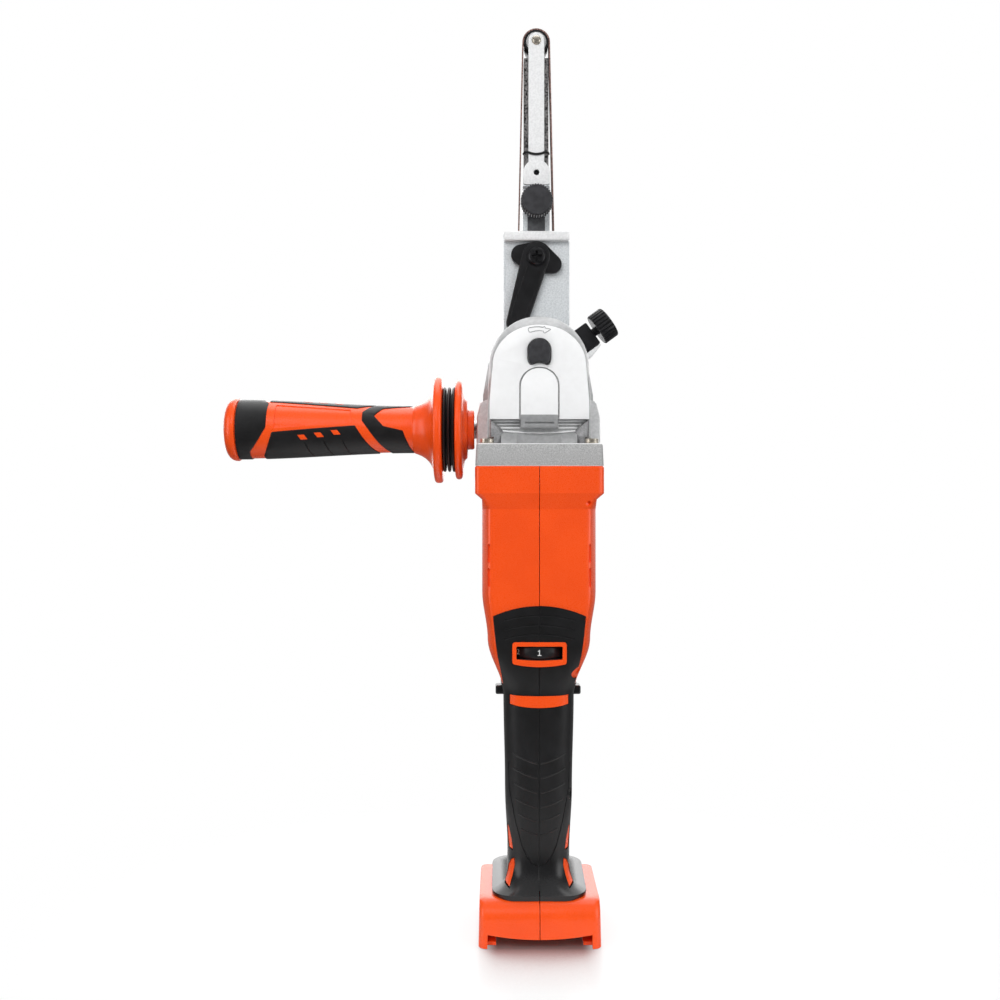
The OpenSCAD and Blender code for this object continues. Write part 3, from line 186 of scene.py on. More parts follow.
def lathe(name, profile, origin, axis, steps=96):  # profile of (along, radius), closed
    bpy.ops.mesh.primitive_circle_add(vertices=len(profile), radius=1, fill_type="NOTHING")
    obj = newest(name)
    along = Vector(axis)
    out = Vector((0, 0, 1)) if abs(along.z) < 0.9 else Vector((1, 0, 0))
    for vert, (a, r) in zip(obj.data.vertices, profile):
        vert.co = (Vector(origin) + along * a + out * r) * mm
    editStart(obj, "VERT")
    bpy.ops.mesh.spin(steps=steps, angle=2 * math.pi, center=Vector(origin) * mm, axis=along)
    bpy.ops.mesh.remove_doubles(threshold=0.002 * mm)
    bpy.ops.mesh.dissolve_degenerate(threshold=0.001 * mm)
    editStop()
    return mend(obj)


def tube(name, points, radius, sides=8, loop=False):  # a round bar along points
    line = bpy.data.curves.new(name, "CURVE")
    line.dimensions = "3D"
    path = line.splines.new("POLY")
    path.points.add(len(points) - 1)
    for spot, point in zip(path.points, points):
        spot.co = (*[v * mm for v in point], 1)
    path.use_cyclic_u = loop
    line.bevel_depth = radius * mm
    line.bevel_resolution = max(1, sides // 4 - 1)
    line.use_fill_caps = True
    obj = bpy.data.objects.new(name, line)
    scene.collection.objects.link(obj)
    wake(obj)
    bpy.ops.object.convert(target="MESH")
    return mend(newest(name))


def joinUp(name, pieces):  # one object of several, still apart
    wake(pieces[0])
    for piece in pieces:
        piece.select_set(True)
    bpy.ops.object.join()
    pieces[0].name = name
    return pieces[0]


def copyOf(obj, name):
    twin = obj.copy()
    twin.data = obj.data.copy()
    twin.name = twin.data.name = name
    scene.collection.objects.link(twin)
    return twin


def mirrorX(obj, name):  # the same shape on the other side
    twin = copyOf(obj, name)
    twin.scale.x = -1
    return mend(fixPlace(twin), 0.0001)


def turnAbout(obj, degrees, axis, centre=(0, 0, 0)):
    middle = Matrix.Translation(Vector(centre) * mm)
    turn = Matrix.Rotation(math.radians(degrees), 4, Vector(axis))
    obj.matrix_world = middle @ turn @ middle.inverted() @ obj.matrix_world
    return fixPlace(obj)


def halve(obj, name, gap=0.16):  # keep the right side of the centre plane
    editStart(obj)
    bpy.ops.mesh.bisect(plane_co=(gap * mm, 0, 0), plane_no=(1, 0, 0), use_fill=True, clear_inner=True)
    editStop()
    mend(obj)

    def onSeam(edge):
        flat = all(abs(v.co.x - gap * mm) < 1e-6 for v in edge.verts)
        return flat and len(edge.link_faces) == 2 and any(
            f.normal.y * f.calc_center_median().y > 0 and abs(f.normal.x) < 0.7 for f in edge.link_faces)

    editStart(obj, "EDGE", "DESELECT")  # round the seam's outer edge, so the joint shows as a fine line
    choose(obj, onSeam, "edges")
    bpy.ops.mesh.bevel(offset=0.25 * mm, segments=2)
    editStop()
    obj.name = name
    return mend(obj)


def settle(obj, body, look, node=None, angle=35):
    fixPlace(obj)
    bpy.ops.object.shade_smooth_by_angle(angle=math.radians(angle))
    obj.data.materials.clear()
    obj.data.materials.append(finishes[look])
    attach(obj, body)
    if node:
        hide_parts(node)
    return obj


def settleOrange(obj, node=None, angle=35):
    return settle(obj, "housing", "orangePlastic", node, angle)


def paint(obj, others, choice):  # more finishes: choice gives each face the number of its own
    for look in others:
        obj.data.materials.append(finishes[look])
    for face in obj.data.polygons:
        face.material_index = choice(face)


# points and outlines

def share(value, low, high):  # how far value has come from low to high
    return min(max((value - low) / (high - low), 0), 1)


def ease(t):
    return t * t * (3 - 2 * t)


def heights(first, last, step):
    count = max(1, round(abs(last - first) / step))
    return [first + (last - first) * i / count for i in range(count + 1)]


def arcOf(centre, radius, first, last, steps, tall=None):  # tall is the other radius of an ellipse
    turns = [math.radians(first + (last - first) * i / steps) for i in range(steps + 1)]
    return [(centre[0] + radius * math.cos(t), centre[1] + (tall or radius) * math.sin(t)) for t in turns]


def flipped(points):  # the same points on the other side, in reverse
    return [(-x, *rest) for x, *rest in reversed(points)]


def divided(points, steps):  # more points along a drawn line
    more = [(x0 + (x1 - x0) * i / steps, z0 + (z1 - z0) * i / steps)
            for (x0, z0), (x1, z1) in zip(points, points[1:]) for i in range(steps)]
    return more + [points[-1]]


def hull(points):  # outline round a set of points
    points = sorted(set((round(x, 4), round(z, 4)) for x, z in points))

    def side(row):
        kept = []
        for p in row:
            while len(kept) > 1 and ((kept[-1][0] - kept[-2][0]) * (p[1] - kept[-2][1])
                                     <= (kept[-1][1] - kept[-2][1]) * (p[0] - kept[-2][0])):
                kept.pop()
            kept.append(p)
        return kept[:-1]

    return side(points) + side(points[::-1])


def aroundDiscs(*discs):  # outline round discs of (x, z, radius)
    return hull([point for x, z, r in discs for point in arcOf((x, z), r, 0, 360, 48)[:-1]])


# finishes

def addNode(tree, kind, **settings):
    node = tree.nodes.new("ShaderNode" + kind)
    for key, value in settings.items():
        if key in node.inputs:
            node.inputs[key].default_value = value
        else:
            setattr(node, key, value)
    return node


def feed(tree, kind, *values, out=0, **settings):  # a node whose first inputs are linked in turn
    node = addNode(tree, kind, **settings)
    for value, entry in zip(values, node.inputs):
        tree.links.new(value, entry)
    return node.outputs[out]


def addNoise(tree, spot, size, detail, stretch=None):  # size of the grains in mm
    if stretch:
        spot = feed(tree, "Mapping", spot, Scale=stretch)
    return feed(tree, "TexNoise", spot, out="Fac", Scale=1 / (size * mm), Detail=detail)


def spread(tree, value, low, high, fromLow, fromHigh, kind="LINEAR"):
    node = addNode(tree, "MapRange", interpolation_type=kind)
    for key, number in (("From Min", fromLow), ("From Max", fromHigh), ("To Min", low), ("To Max", high)):
        node.inputs[key].default_value = number
    tree.links.new(value, node.inputs["Value"])
    return node.outputs["Result"]


def tint(tree, value, *stops):  # a ramp of colours, each stop as (place, red, green, blue)
    node = addNode(tree, "ValToRGB")
    marks = node.color_ramp.elements
    marks.remove(marks[1])
    marks[0].position = stops[0][0]
    for place, *colour in stops[1:]:
        marks.new(place)
    for mark, (place, *colour) in zip(marks, stops):
        mark.color = (*colour, 1)
    tree.links.new(value, node.inputs["Fac"])
    return node.outputs["Color"]


def grainFinish(name, dark, light, patch, grain, rough, depth, more):
    finish = bpy.data.materials.new(name)
    finish.use_nodes = True
    tree = finish.node_tree
    shader = tree.nodes["Principled BSDF"]
    spot = feed(tree, "TexCoord", out="Object")
    tone = tint(tree, addNoise(tree, spot, patch, 3, more.get("stretch")), (0.35, *dark), (0.65, *light))
    fine = addNoise(tree, spot, grain, 2, more.get("stretch"))
    dull = spread(tree, fine, *rough, 0.3, 0.7)
    if "polish" in more:  # worn smoother low down
        low, high, least = more["polish"]
        level = feed(tree, "SeparateXYZ", spot, out="Z")
        worn = spread(tree, level, least, 1, low * mm, high * mm)
        dull = feed(tree, "Math", dull, worn, operation="MULTIPLY")
    bump = addNode(tree, "Bump", Distance=depth * mm, Strength=1.0)
    tree.links.new(fine, bump.inputs["Height"])
    for value, entry in ((tone, "Base Color"), (dull, "Roughness"), (bump.outputs["Normal"], "Normal")):
        tree.links.new(value, shader.inputs[entry])
    for entry, number in (("Metallic", more.get("metal", 0)), ("Specular IOR Level", more.get("shine", 0.5)),
                          ("Coat Weight", more.get("coat", 0)), ("Coat Roughness", 0.15)):
        shader.inputs[entry].default_value = number
    return finish


# dark and light tone, size of the patches and of the grain, roughness, depth of the grain, what else there is
looks = {
    "orangePlastic": ((0.93, 0.080, 0.0045), (0.97, 0.087, 0.0055), 18, 0.35, (0.24, 0.34), 0.005, {}),
    "softBlack": ((0.0085, 0.0085, 0.0092), (0.0125, 0.0125, 0.0135), 9, 0.3, (0.42, 0.56), 0.015, {}),
    "gripBlack": ((0.008, 0.008, 0.0085), (0.0115, 0.0115, 0.0125), 9, 0.3, (0.38, 0.5), 0.012,
                  dict(polish=(28, 52, 0.5))),
    "blackPlastic": ((0.0095, 0.0095, 0.0105), (0.0145, 0.0145, 0.016), 6, 0.4, (0.32, 0.46), 0.012, {}),
    "castMetal": ((0.56, 0.565, 0.57), (0.66, 0.665, 0.67), 1.6, 0.5, (0.34, 0.5), 0.03, dict(metal=0.2)),
    # a bright lit copy of the cast metal: painted highlight
    "castLitFront": ((0.93, 0.935, 0.94), (0.965, 0.97, 0.975), 5, 0.5, (0.45, 0.6), 0.012, dict(metal=0.12)),
    "castGrain": ((0.34, 0.34, 0.34), (0.51, 0.51, 0.51), 0.6, 0.55, (0.45, 0.65), 0.06,
                  dict(metal=0.12, shine=0.25)),
    # a mid grey cast metal, on the gear head also a shaded copy for painted shade
    "castRim": ((0.40, 0.405, 0.41), (0.47, 0.475, 0.48), 2.4, 0.5, (0.3, 0.46), 0.02, dict(metal=0.3)),
    # a dark copy of the cast metal: painted shade
    "castShade": ((0.19, 0.19, 0.195), (0.26, 0.26, 0.265), 2, 0.5, (0.25, 0.4), 0.02, dict(metal=0.35)),
    "paleMetal": ((0.78, 0.785, 0.79), (0.88, 0.885, 0.89), 1.1, 0.6, (0.3, 0.46), 0.025, dict(metal=0.12)),
    "zincScrew": ((0.42, 0.38, 0.31), (0.66, 0.61, 0.53), 1, 0.3, (0.25, 0.42), 0.02, dict(metal=0.75)),
    "sliderSteel": ((0.09, 0.092, 0.098), (0.13, 0.132, 0.14), 2, 0.3, (0.35, 0.5), 0.015, dict(metal=0.3)),
    "slateBlack": ((0.03, 0.03, 0.033), (0.044, 0.044, 0.049), 3, 0.35, (0.45, 0.6), 0.012, dict(shine=0.4)),
    "graphitePad": ((0.010, 0.010, 0.010), (0.26, 0.25, 0.25), 1.1, 0.3, (0.8, 1), 0.25, dict(shine=0.15)),
    "brightSteel": ((0.60, 0.61, 0.62), (0.74, 0.75, 0.76), 3, 0.25, (0.18, 0.34), 0.006,
                    dict(metal=1, stretch=(1, 1, 0.15))),
    "blackedSteel": ((0.022, 0.022, 0.024), (0.04, 0.04, 0.043), 2, 0.3, (0.3, 0.45), 0.01, dict(metal=0.7)),
    "enamelledCopper": ((0.55, 0.20, 0.07), (0.72, 0.30, 0.12), 1.2, 0.4, (0.22, 0.36), 0.03,
                        dict(metal=0.9, stretch=(1, 1, 6))),
    "tinnedBrass": ((0.62, 0.44, 0.18), (0.74, 0.55, 0.26), 2, 0.3, (0.2, 0.34), 0.006, dict(metal=1)),
    "circuitBoard": ((0.010, 0.06, 0.022), (0.022, 0.12, 0.04), 2.5, 0.6, (0.3, 0.5), 0.02, dict(coat=0.4)),
    "greyPaint": ((0.64, 0.67, 0.69), (0.80, 0.83, 0.85), 0.9, 0.9, (0.28, 0.44), 0.05,
                  dict(metal=0.2, coat=0.2)),
    "beltCloth": ((0.05, 0.024, 0.022), (0.40, 0.25, 0.22), 0.9, 0.3, (0.75, 0.95), 0.12, dict(shine=0.2)),
    "numeralPaint": ((0.78, 0.78, 0.77), (0.86, 0.86, 0.85), 1, 0.2, (0.45, 0.6), 0.004, {})}
finishes = {name: grainFinish(name, *look) for name, look in looks.items()}

slotLook = {
    "orange_plastic": "orangePlastic", "soft_black": "softBlack", "black_plastic": "blackPlastic",
    "cast_metal": "castMetal", "painted_metal": "greyPaint", "steel": "brightSteel",
    "dark_steel": "blackedSteel", "copper": "enamelledCopper", "brass": "tinnedBrass",
    "circuit_board": "circuitBoard", "belt_cloth": "beltCloth"}
nodeLook = {"gear_housing_screws": "zincScrew", "file_arm": "paleMetal", "platens": "graphitePad",
            "arm_slider": "sliderSteel"}
edgeWidth = {"selector_bar": 0.9}
for part in frame["record"]["subparts"]:  # the CAD nodes that stay: their finish and softened edges
    node = part["node"]
    obj = nodes[node]
    obj.data.materials.clear()
    obj.data.materials.append(finishes[nodeLook.get(node, slotLook[part["material_slot"]])])
    addTool(obj, "WELD", merge_threshold=0.002 * mm)
    addTool(obj, "DECIMATE", decimate_type="DISSOLVE", angle_limit=math.radians(0.6))
    addTool(obj, "BEVEL", width=edgeWidth.get(node, 0.3) * mm, segments=2, limit_method="ANGLE",
            angle_limit=math.radians(40))


# housing: two shells split on the centre plane
housing = dict(
    # height, half width, front, back, corner, how far the front corner is a flat chamfer
    keys=[(46, 17.2, 22.5, 22, 13, 0), (80, 18.6, 24, 22.5, 13, 0), (133, 19.5, 24.5, 18.5, 12, 0.1),
          (164, 28.2, 28.5, 24.5, 10, 0.9), (190, 31.2, 29, 29, 8, 1), (235, 31.2, 29, 29, 8, 1),
          (240.3, 31.2, 30.8, 30.8, 3.4, 0.1), (243.8, 35, 32, 32, 3.5, 0), (258.3, 35, 32, 32, 3.5, 0)],
    # the skirt: how much wider it gets at its foot, and how late it flares
    skirt=dict(low=26.5, side=(8.8, 6), front=(10.6, 2.2), back=(8, 4), corner=-1, lift=4.5),
    # the foot's half width, front, back and corner, and how its top rounds over: back from the front, height
    foot=(33, 38, 32, 4),
    brow=((0, 15), (0.2, 17), (0.83, 19), (1.65, 20.5), (2.86, 22), (4, 23), (5.64, 24),
          (7.2, 24.6), (10, 25)),
    wall=2.4, footWall=3.2, core=1.55, ledge=138.6, top=258.3, vents=((216, 206), (203, 193)),
    # the front corner from the face round to the side: in from the side, back from the front
    corner=((9, 0), (6.4, 0.08), (4.6, 0.3), (4.45, 0.36), (3.5, 0.98), (3.35, 1.2), (1.7, 4.4), (0.4, 7.8),
            (0, 10.5)),
    # half width, low and high of the selector's way, then left, front, right and back of a vent
    selector=(5.4, 130.6, 136.4), vent=(26.8, -32, 28.1, -26.6), frontHole=(26.4, -29.6, 238.2),
    # the screw wells: where each starts, and its radius
    wells=((24, 24.5, 228, 3.2), (24, 23, 180, 3.2), (24, -30, 16, 3.2), (24, 24, 16, 3.2),
           (12, -20.6, 147, 2)))


def flareAt(z):
    return share(z, housing["keys"][0][0], housing["skirt"]["low"])


def sectionAt(z):
    keys = housing["keys"]
    if z < keys[0][0]:
        skirt, t = housing["skirt"], flareAt(z)
        grow = [size * t ** late for size, late in (skirt["side"], skirt["front"], skirt["back"])]
        return [a + b for a, b in zip(keys[0][1:], grow + [skirt["corner"] * t * t, 0])]
    for low, high in zip(keys, keys[1:]):
        if z <= high[0] or high is keys[-1]:
            t = ease(share(z, low[0], high[0]))
            return [a + (b - a) * t for a, b in zip(low[1:], high[1:])]


def ringOf(section, z, inset=0):  # a rounded outline, counter-clockwise from the front centre
    half, front, back, corner, flat = section
    half, front, back, corner = half - inset, front - inset, back - inset, max(corner - inset, 0.8)
    arc = arcOf((half - corner, corner - front), corner, -90, 0, 8)
    keen = [(half - x, y - front) for x, y in housing["corner"]]
    side = [(x + (u - x) * flat, y + (v - y) * flat) for (x, y), (u, v) in zip(arc, keen)]
    side += arcOf((half - corner, back - corner), corner, 0, 90, 8)
    return [(x, y, z) for x, y in [(0, -front)] + side + [(0, back)] + flipped(side)]


def bodyRing(z, inset=0):  # the skirt rises towards the back
    lift = housing["skirt"]["lift"] * flareAt(z) ** 4 / 65
    return [(x, y, h + lift * (y + 35)) for x, y, h in ringOf(sectionAt(z), z, inset)]


def bodyRings(levels, inset=0):
    return [bodyRing(z, inset) for z in levels]


def footRing(z, brow=0, inset=0):  # the top rounds over towards the front only
    half, front, back, corner = housing["foot"]
    return ringOf((half - inset, front - brow - inset, back - inset, corner, 0), z)


def seatRing(inset):  # the skirt's lower edge, laid on the foot
    rows = housing["brow"]
    ring = []
    for x, y, z in ringOf(sectionAt(housing["skirt"]["low"]), 25.05, inset):
        brow = housing["foot"][1] + y
        for (b0, z0), (b1, z1) in zip(rows, rows[1:]):
            if b0 <= brow < b1:
                z = z0 + (z1 - z0) * (brow - b0) / (b1 - b0) + 0.05
        ring.append((x, y, z))
    return ring


def frontAt(x, z):  # how far forward the surface is at x, z
    half, front, back, corner, flat = sectionAt(z)
    over = max(abs(x) - (half - corner), 0)
    return -front + corner - math.sqrt(max(corner * corner - over * over, 0))


def selectorWay(near, far):
    half, low, high = housing["selector"]
    return block("selectorWay", (near, -half, low), (far, half, high))


def makeShell():
    core, ledge, wall, footWall, top = (housing[key] for key in ("core", "ledge", "wall", "footWall", "top"))
    rings = [footRing(0, 0, 0.4), footRing(0.5)]
    rings += [footRing(z, brow, 0.02 * z + (0.25 if z > 24 else 0)) for brow, z in housing["brow"]]
    rings += [footRing(25.02, 10.5, 4.5)] + [ringOf(sectionAt(40), z, core) for z in (25.1, 36)]
    rings += bodyRings(heights(40, ledge - 0.2, 4), core) + [bodyRing(ledge, 0.3)]
    rings += bodyRings(heights(ledge + 0.4, 190, 3))
    rings += bodyRings((212, 234.6, 235, 240.3, 243.6, 244.1, 257.6)) + [bodyRing(top, 0.5)]
    rings += bodyRings((top, 246, 235, 212), wall) + bodyRings(heights(190, 150, 8), wall)
    rings += bodyRings(heights(136, 46, 10), core + wall) + [ringOf(sectionAt(40), 24, core + wall)]
    rings += [footRing(z, brow, footWall) for z, brow in ((21.6, 7), (13, 0), (0, 0))]
    return loft("housingShell", rings, hollow=True)


# battery slide: slot under a bowed roof, deck and hooks
slide = dict(half=28.2, reach=28, roof=5, rise=2.6, deck=((0.16, -36, 7.3), (31, 30, 9.5)),
             hole=((-14.3, -14.3, 0), (14.3, 16.3, 20)), hook=((23.5, -32, 0.05), (31.5, 26, 2.2)))

shellRight = halve(makeShell(), "shellRight")
half, reach = slide["half"], slide["reach"]
roof = [(x, slide["roof"] + slide["rise"] * (x / reach) ** 2) for x in range(reach, -reach - 1, -2)]
cut(shellRight, prism("slotCut", [(-half, -2), (half, -2)] + roof, -45, 40))
weld(shellRight, cut(block("deck", *slide["deck"]), block("deckHole", *slide["hole"])))
weld(shellRight, block("hook", *slide["hook"], 0.4))

# vents, ways for the selector and the trigger, screw wells
left, front, right, back = housing["vent"]
for high, low in housing["vents"]:
    cut(shellRight, block("vent", (left, front, low), (right, back, high), 0.2))
cut(shellRight, selectorWay(10, 40))
cut(shellRight, block("triggerWay", (-8.1, 8, 95.5), (8.1, 40, 127.5)))
shellLeft = mirrorX(shellRight, "shellLeft")
for *start, radius in housing["wells"]:
    cut(shellRight, rod("screwWell", "X", start, 20, radius))
x, y, z = housing["frontHole"]
cut(shellRight, turnAbout(rod("frontHole", "Y", (x, -42, z), 13, 1.3, 32), 35, (0, 0, 1), (x, y, z)))
for shell, node in ((shellRight, "housing_right"), (shellLeft, "housing_left")):
    settleOrange(shell, node, 18)
print("shells", len(shellRight.data.polygons), len(shellLeft.data.polygons))


# soft grip: the sleeve runs up past the orange band into the arched thumb panel
grip = dict(
    foldAt=138.6, proud=0.8, top=184, thick=1.5,
    panel=[(19.6, 139), (20.2, 142), (21, 146.7), (22.8, 155.7), (24.2, 166.5), (25.1, 176), (25.2, 177)],
    archTop=182.6, archDrop=5.6, grooves=(177.6, 172.4, 167.4), grooveHalf=19.5, grooveDrop=2.8,
    # height of each rib at the centre, and how far out it goes
    ribs=((96, 14.4), (88, 14.2), (80, 13.6), (72, 12.6), (64.5, 11.4), (57, 10)), ribRise=5.4, ribHalf=14.5,
    panelLine=[(16.8, 96), (16.4, 82), (12.9, 64), (9.4, 50.8), (6.8, 45.2), (4.2, 41.8), (1, 40.2)],
    band=dict(half=15.9, top=133, low=126.6, lift=1.9),
    inlays=([(14.2, 47.2), (16.3, 47.6), (17.1, 54), (17.4, 61), (16.6, 60.4), (15, 53.5)],
            [(13.4, 43.6), (13.1, 39.9), (14.3, 34.6), (16.3, 29.2), (18.9, 30.7), (17.8, 33.3), (17, 36.5),
             (16.8, 38.6), (15.2, 42.4)]),
    wells=((-16, 78, 3.3), (-21.7, 147, 4.4)),
    seams=((28.5, 126, 0.75), (134.5, 150, 0.45), (164, 182, -0.05)))


def makeSleeve():
    fold, proud, top, thick = (grip[key] for key in ("foldAt", "proud", "top", "thick"))
    rings = [seatRing(0.5), bodyRing(26, 0.15), bodyRing(26.6)]
    rings += bodyRings(heights(27.2, 34, 0.85)) + bodyRings(heights(36, 132, 3))
    rings += [bodyRing(134, -0.1), bodyRing(136.5, -0.35), bodyRing(139, -0.65)]
    rings += bodyRings(heights(142, top, 3), -proud) + bodyRings(heights(top, fold + 0.8, 3), -0.04)
    rings += bodyRings(heights(fold - 0.3, 36, 3.5), thick) + bodyRings((33, 30.5, 28.6, 27.2), thick)
    return loft("gripSleeve", rings + [seatRing(2.2)], hollow=True)


def skin(name, low, high, step, inset):  # a thin layer of the grip's form
    rings = bodyRings(heights(low, high, step), inset) + bodyRings(heights(high, low, step), grip["thick"])
    return loft(name, rings, hollow=True)


def panelOutline():  # the arch of the thumb panel, seen from the front
    half = grip["panel"][-1][0]
    shares = [1 - i / 12 for i in range(1, 13)]
    right = grip["panel"] + [(half * t, grip["archTop"] - grip["archDrop"] * t ** 2) for t in shares]
    return right + flipped(right[:-1])


def bandOutline(grow=0):
    band = grip["band"]
    half = band["half"] + grow
    low = [(half * (i / 8), band["low"] - grow + band["lift"] * (i / 8) ** 2) for i in range(-8, 9)]
    high = [(half * (i / 8), band["top"] + grow + 0.5 * (i / 8) ** 2) for i in range(8, -9, -1)]
    return low + high


def laid(points, sunk=0):  # a drawn line laid on the grip's front
    return [(x, frontAt(x, z) + sunk, z) for x, z in points]


def ribLine(level, end, start=0.9, steps=14):  # a smile-shaped line
    spots = [start + (end - start) * i / steps for i in range(steps + 1)]
    return laid([(x, level + grip["ribRise"] * abs(x / grip["ribHalf"]) ** 1.4) for x in spots], 0.28)


sleeve = makeSleeve()
wide, start = 70, grip["panel"][0][1]
above = [(-wide, start)] + panelOutline()[::-1] + [(wide, start), (wide, 195), (-wide, 195)]
cut(sleeve, prism("overPanel", above, -60, -8))
cut(sleeve, block("behindPanel", (-wide, -8.5, start), (wide, 60, 200)))
cut(sleeve, prism("bandGap", bandOutline(0.2), -60, -9))
cut(sleeve, selectorWay(-60, 60))
cut(sleeve, block("triggerWay", (-8.4, 8, 95), (8.4, 40, 128)))
sleeveRight = halve(sleeve, "sleeveRight")
half = grip["grooveHalf"]
for z in grip["grooves"]:  # arched grooves across the thumb panel
    spots = [half * i / 12 - 0.4 for i in range(13)]
    line = [(x, frontAt(x, z) - grip["proud"], z - grip["grooveDrop"] * (x / half) ** 2) for x in spots]
    cut(sleeveRight, tube("panelGroove", line, 0.7))
for z, end in grip["ribs"]:
    weld(sleeveRight, tube("gripRib", ribLine(z, end), 0.62))
cut(sleeveRight, tube("panelLine", laid(divided(grip["panelLine"], 6)), 0.42))
for outline in grip["inlays"]:
    cut(sleeveRight, prism("inlayWindow", outline, -45, -3))
sleeveLeft = mirrorX(sleeveRight, "sleeveLeft")
for y, z, radius in grip["wells"]:
    cut(sleeveRight, rod("gripWell", "X", (10, y, z), 30, radius))
for sleeve, node in ((sleeveRight, "overmould_right"), (sleeveLeft, "overmould_left")):
    settle(sleeve, "housing", "gripBlack", node, 20)

seams = [tube("gripSeam", laid([(0, z) for z in heights(low, high, 3)], deep), 0.45)
         for low, high, deep in grip["seams"]]
seams.append(rod("gripPlug", "X", (10, -16, 78), 6.9, 3.25, 48, 0.4))
settle(joinUp("gripSeam", seams), "housing", "gripBlack")
band = cut(skin("gripBand", 122, 137, 3, 0.05), prism("bandShape", bandOutline(), -60, -9), way="INTERSECT")
settleOrange(band)
inlaySkin = skin("inlaySkin", 27.2, 64, 1, 0.3)
inlays = []
for outline in grip["inlays"]:
    middle = Vector((sum(x for x, z in outline), sum(z for x, z in outline))) / len(outline)
    near = [tuple(middle + (Vector(p) - middle) * 0.9) for p in outline]
    pad = cut(copyOf(inlaySkin, "inlay"), prism("inlayShape", near, -45, -3.4), way="INTERSECT")
    inlays += [pad, mirrorX(pad, "inlayTwin")]
bpy.data.objects.remove(inlaySkin)
settleOrange(joinUp("gripInlays", inlays))
print("grip", len(sleeveRight.data.polygons))


# speed dial behind its framed window
dial = dict(centre=(0, -13.407, 157.2), radius=16, half=3.25, step=46, text=4.2, proud=0.08, front=-29.7,
            frame=(14.7, 150.9, 163, 1.6), window=(12.5, 153.6, 160.7, 0.6, 0.6),
            room=(14.85, 150.75, 163.15, 1.7),
            # the foot and the flag of the first number: left, low, right, high
            bars=((-0.95, -1.52, 0.95, -1.12), (-0.9, 0.75, -0.1, 1.15)))


def roundedRect(half, low, high, corner, dip=1.3):  # its lower edge bows down
    inner = half - corner
    points = []
    for x, z, start in ((inner, low + corner, -90), (inner, high - corner, 0),
                        (-inner, high - corner, 90), (-inner, low + corner, 180)):
        points += arcOf((x, z), corner, start, start + 90, 5)
    return points + [(inner * i / 8, low - dip * (1 - (i / 8) ** 2)) for i in range(-7, 8)]


def dialWindow():
    return prism("dialWindow", roundedRect(*dial["window"]), -40, -20)


bezel = cut(prism("dialFrame", roundedRect(*dial["frame"]), dial["front"], -26.6), dialWindow())
soften(bezel, 0.5, 3, 40)
settleOrange(bezel)
for shell, sleeve in ((shellRight, sleeveRight), (shellLeft, sleeveLeft)):
    cut(shell, dialWindow())
    cut(sleeve, prism("dialRoom", roundedRect(*dial["room"]), -40, -20))
half, radius = dial["half"], dial["radius"]
rim = [(half - 0.8, radius), (half - 0.25, radius - 0.3), (half, radius - 1.2), (half, 4)]
wheel = lathe("speedWheel", flipped(rim) + rim, dial["centre"], (0, 0, 1), 128)
settle(wheel, "dial", "blackPlastic", "speed_dial")
cradle = block("dialCradle", (-12.4, -28, 152.2), (12.4, -23.5, 153.75), 0.3)
cut(cradle, rod("cradleWay", "Z", (0, -13.4, 150), 10, 11.5))
settle(cradle, "housing", "blackPlastic")

x, y, z = dial["centre"]
y -= radius
proud = dial["proud"]
marks = []
for number in range(1, 7):
    bpy.ops.object.text_add(rotation=(math.pi / 2, 0, 0))
    mark = bpy.context.object
    mark.data.body = str(number)
    mark.data.size = dial["text"] * mm
    mark.data.extrude = proud * mm
    mark.data.align_x = mark.data.align_y = "CENTER"
    bpy.ops.object.convert(target="MESH")
    mark.location = [v * mm for v in (x, y, z)]
    fixPlace(mark)
    if number == 1:
        bars = [block("bar", (x + left, y - proud, z + low), (x + right, y + proud, z + high))
                for left, low, right, high in dial["bars"]]
        mark = joinUp("one", [mark] + bars)
    marks.append(turnAbout(mark, -dial["step"] * (number - 1), (0, 0, 1), dial["centre"]))
settle(mend(joinUp("dialNumbers", marks)), "dial", "numeralPaint")
print("dial")


# gear head: collar, arched front with a sloping rim, trough with louvres, side bosses
head = dict(
    axis=313.5, radius=27.3, footHalf=28.7, foot=284, faceHalf=(27.9, 25.3), faceTop=335, cavity=22,
    # how far the outline has grown from the face's to the outer one, and where that is
    rows=((0, -27), (0.05, -26.9), (0.1, -26.7), (0.9, -22.2), (0.97, -21.4), (1, -20.4),
          (1, 13.4), (0.97, 14)),
    collar=(258.35, 270.7), collarSection=(34.8, 32, 32, 3.5, 0), low=268, tongue=(10.2, 279.4, 301.6),
    # half width of the apron, how far its front bows and its upper edge dips
    apron=(20.8, 0.8, 1.2),
    # out from the centre, front, top
    cheek=((28.4, -26.2, 284.6), (27.5, -26.6, 284.3), (18.4, -19.3, 276.8)),
    # height, how far out, how much the inner edge lifts
    boss=((268, 34.2, 0), (272.4, 34.5, 0), (286, 34.3, 0), (293.6, 32.6, 0), (294.8, 31.6, 1.6)),
    fin=((295, 31), (299, 30.9), (316.6, 27.9), (317.6, 27.4)),
    louvres=((283.2, 25.6), (281.4, 23.2), (279.6, 21)), louvreStart=10.6,
    button=(6.2, 313.7, 321.5), pin=323.1, handle=279.7, screws=(28.5, 25.5))


def arch(footHalf, half, top):  # straight tapered sides under half an ellipse
    axis, foot = head["axis"], head["foot"]
    side = [(-footHalf * (1 - t) - half * t, foot + (axis - foot) * t) for t in (0, 0.3, 0.7)]
    return side + arcOf((0, axis), half, 180, 0, 36, top - axis) + flipped(side)


def buttonOutline(grow):  # arched top, two rounded lower corners, hollow bottom edge
    radius, low, middle = head["button"]
    r, low = radius + grow, low - grow
    right = [(r, 317.4), (r - 0.15, 316), (r - 0.7, low + 1), (r - 1.8, low), (r - 3, low + 0.05),
             (r - 4, low + 0.6), (r - 5.2, low + 0.95)]
    return arcOf((0, middle), r, 180, 0, 24) + right + [(0, low + 1.05)] + flipped(right)


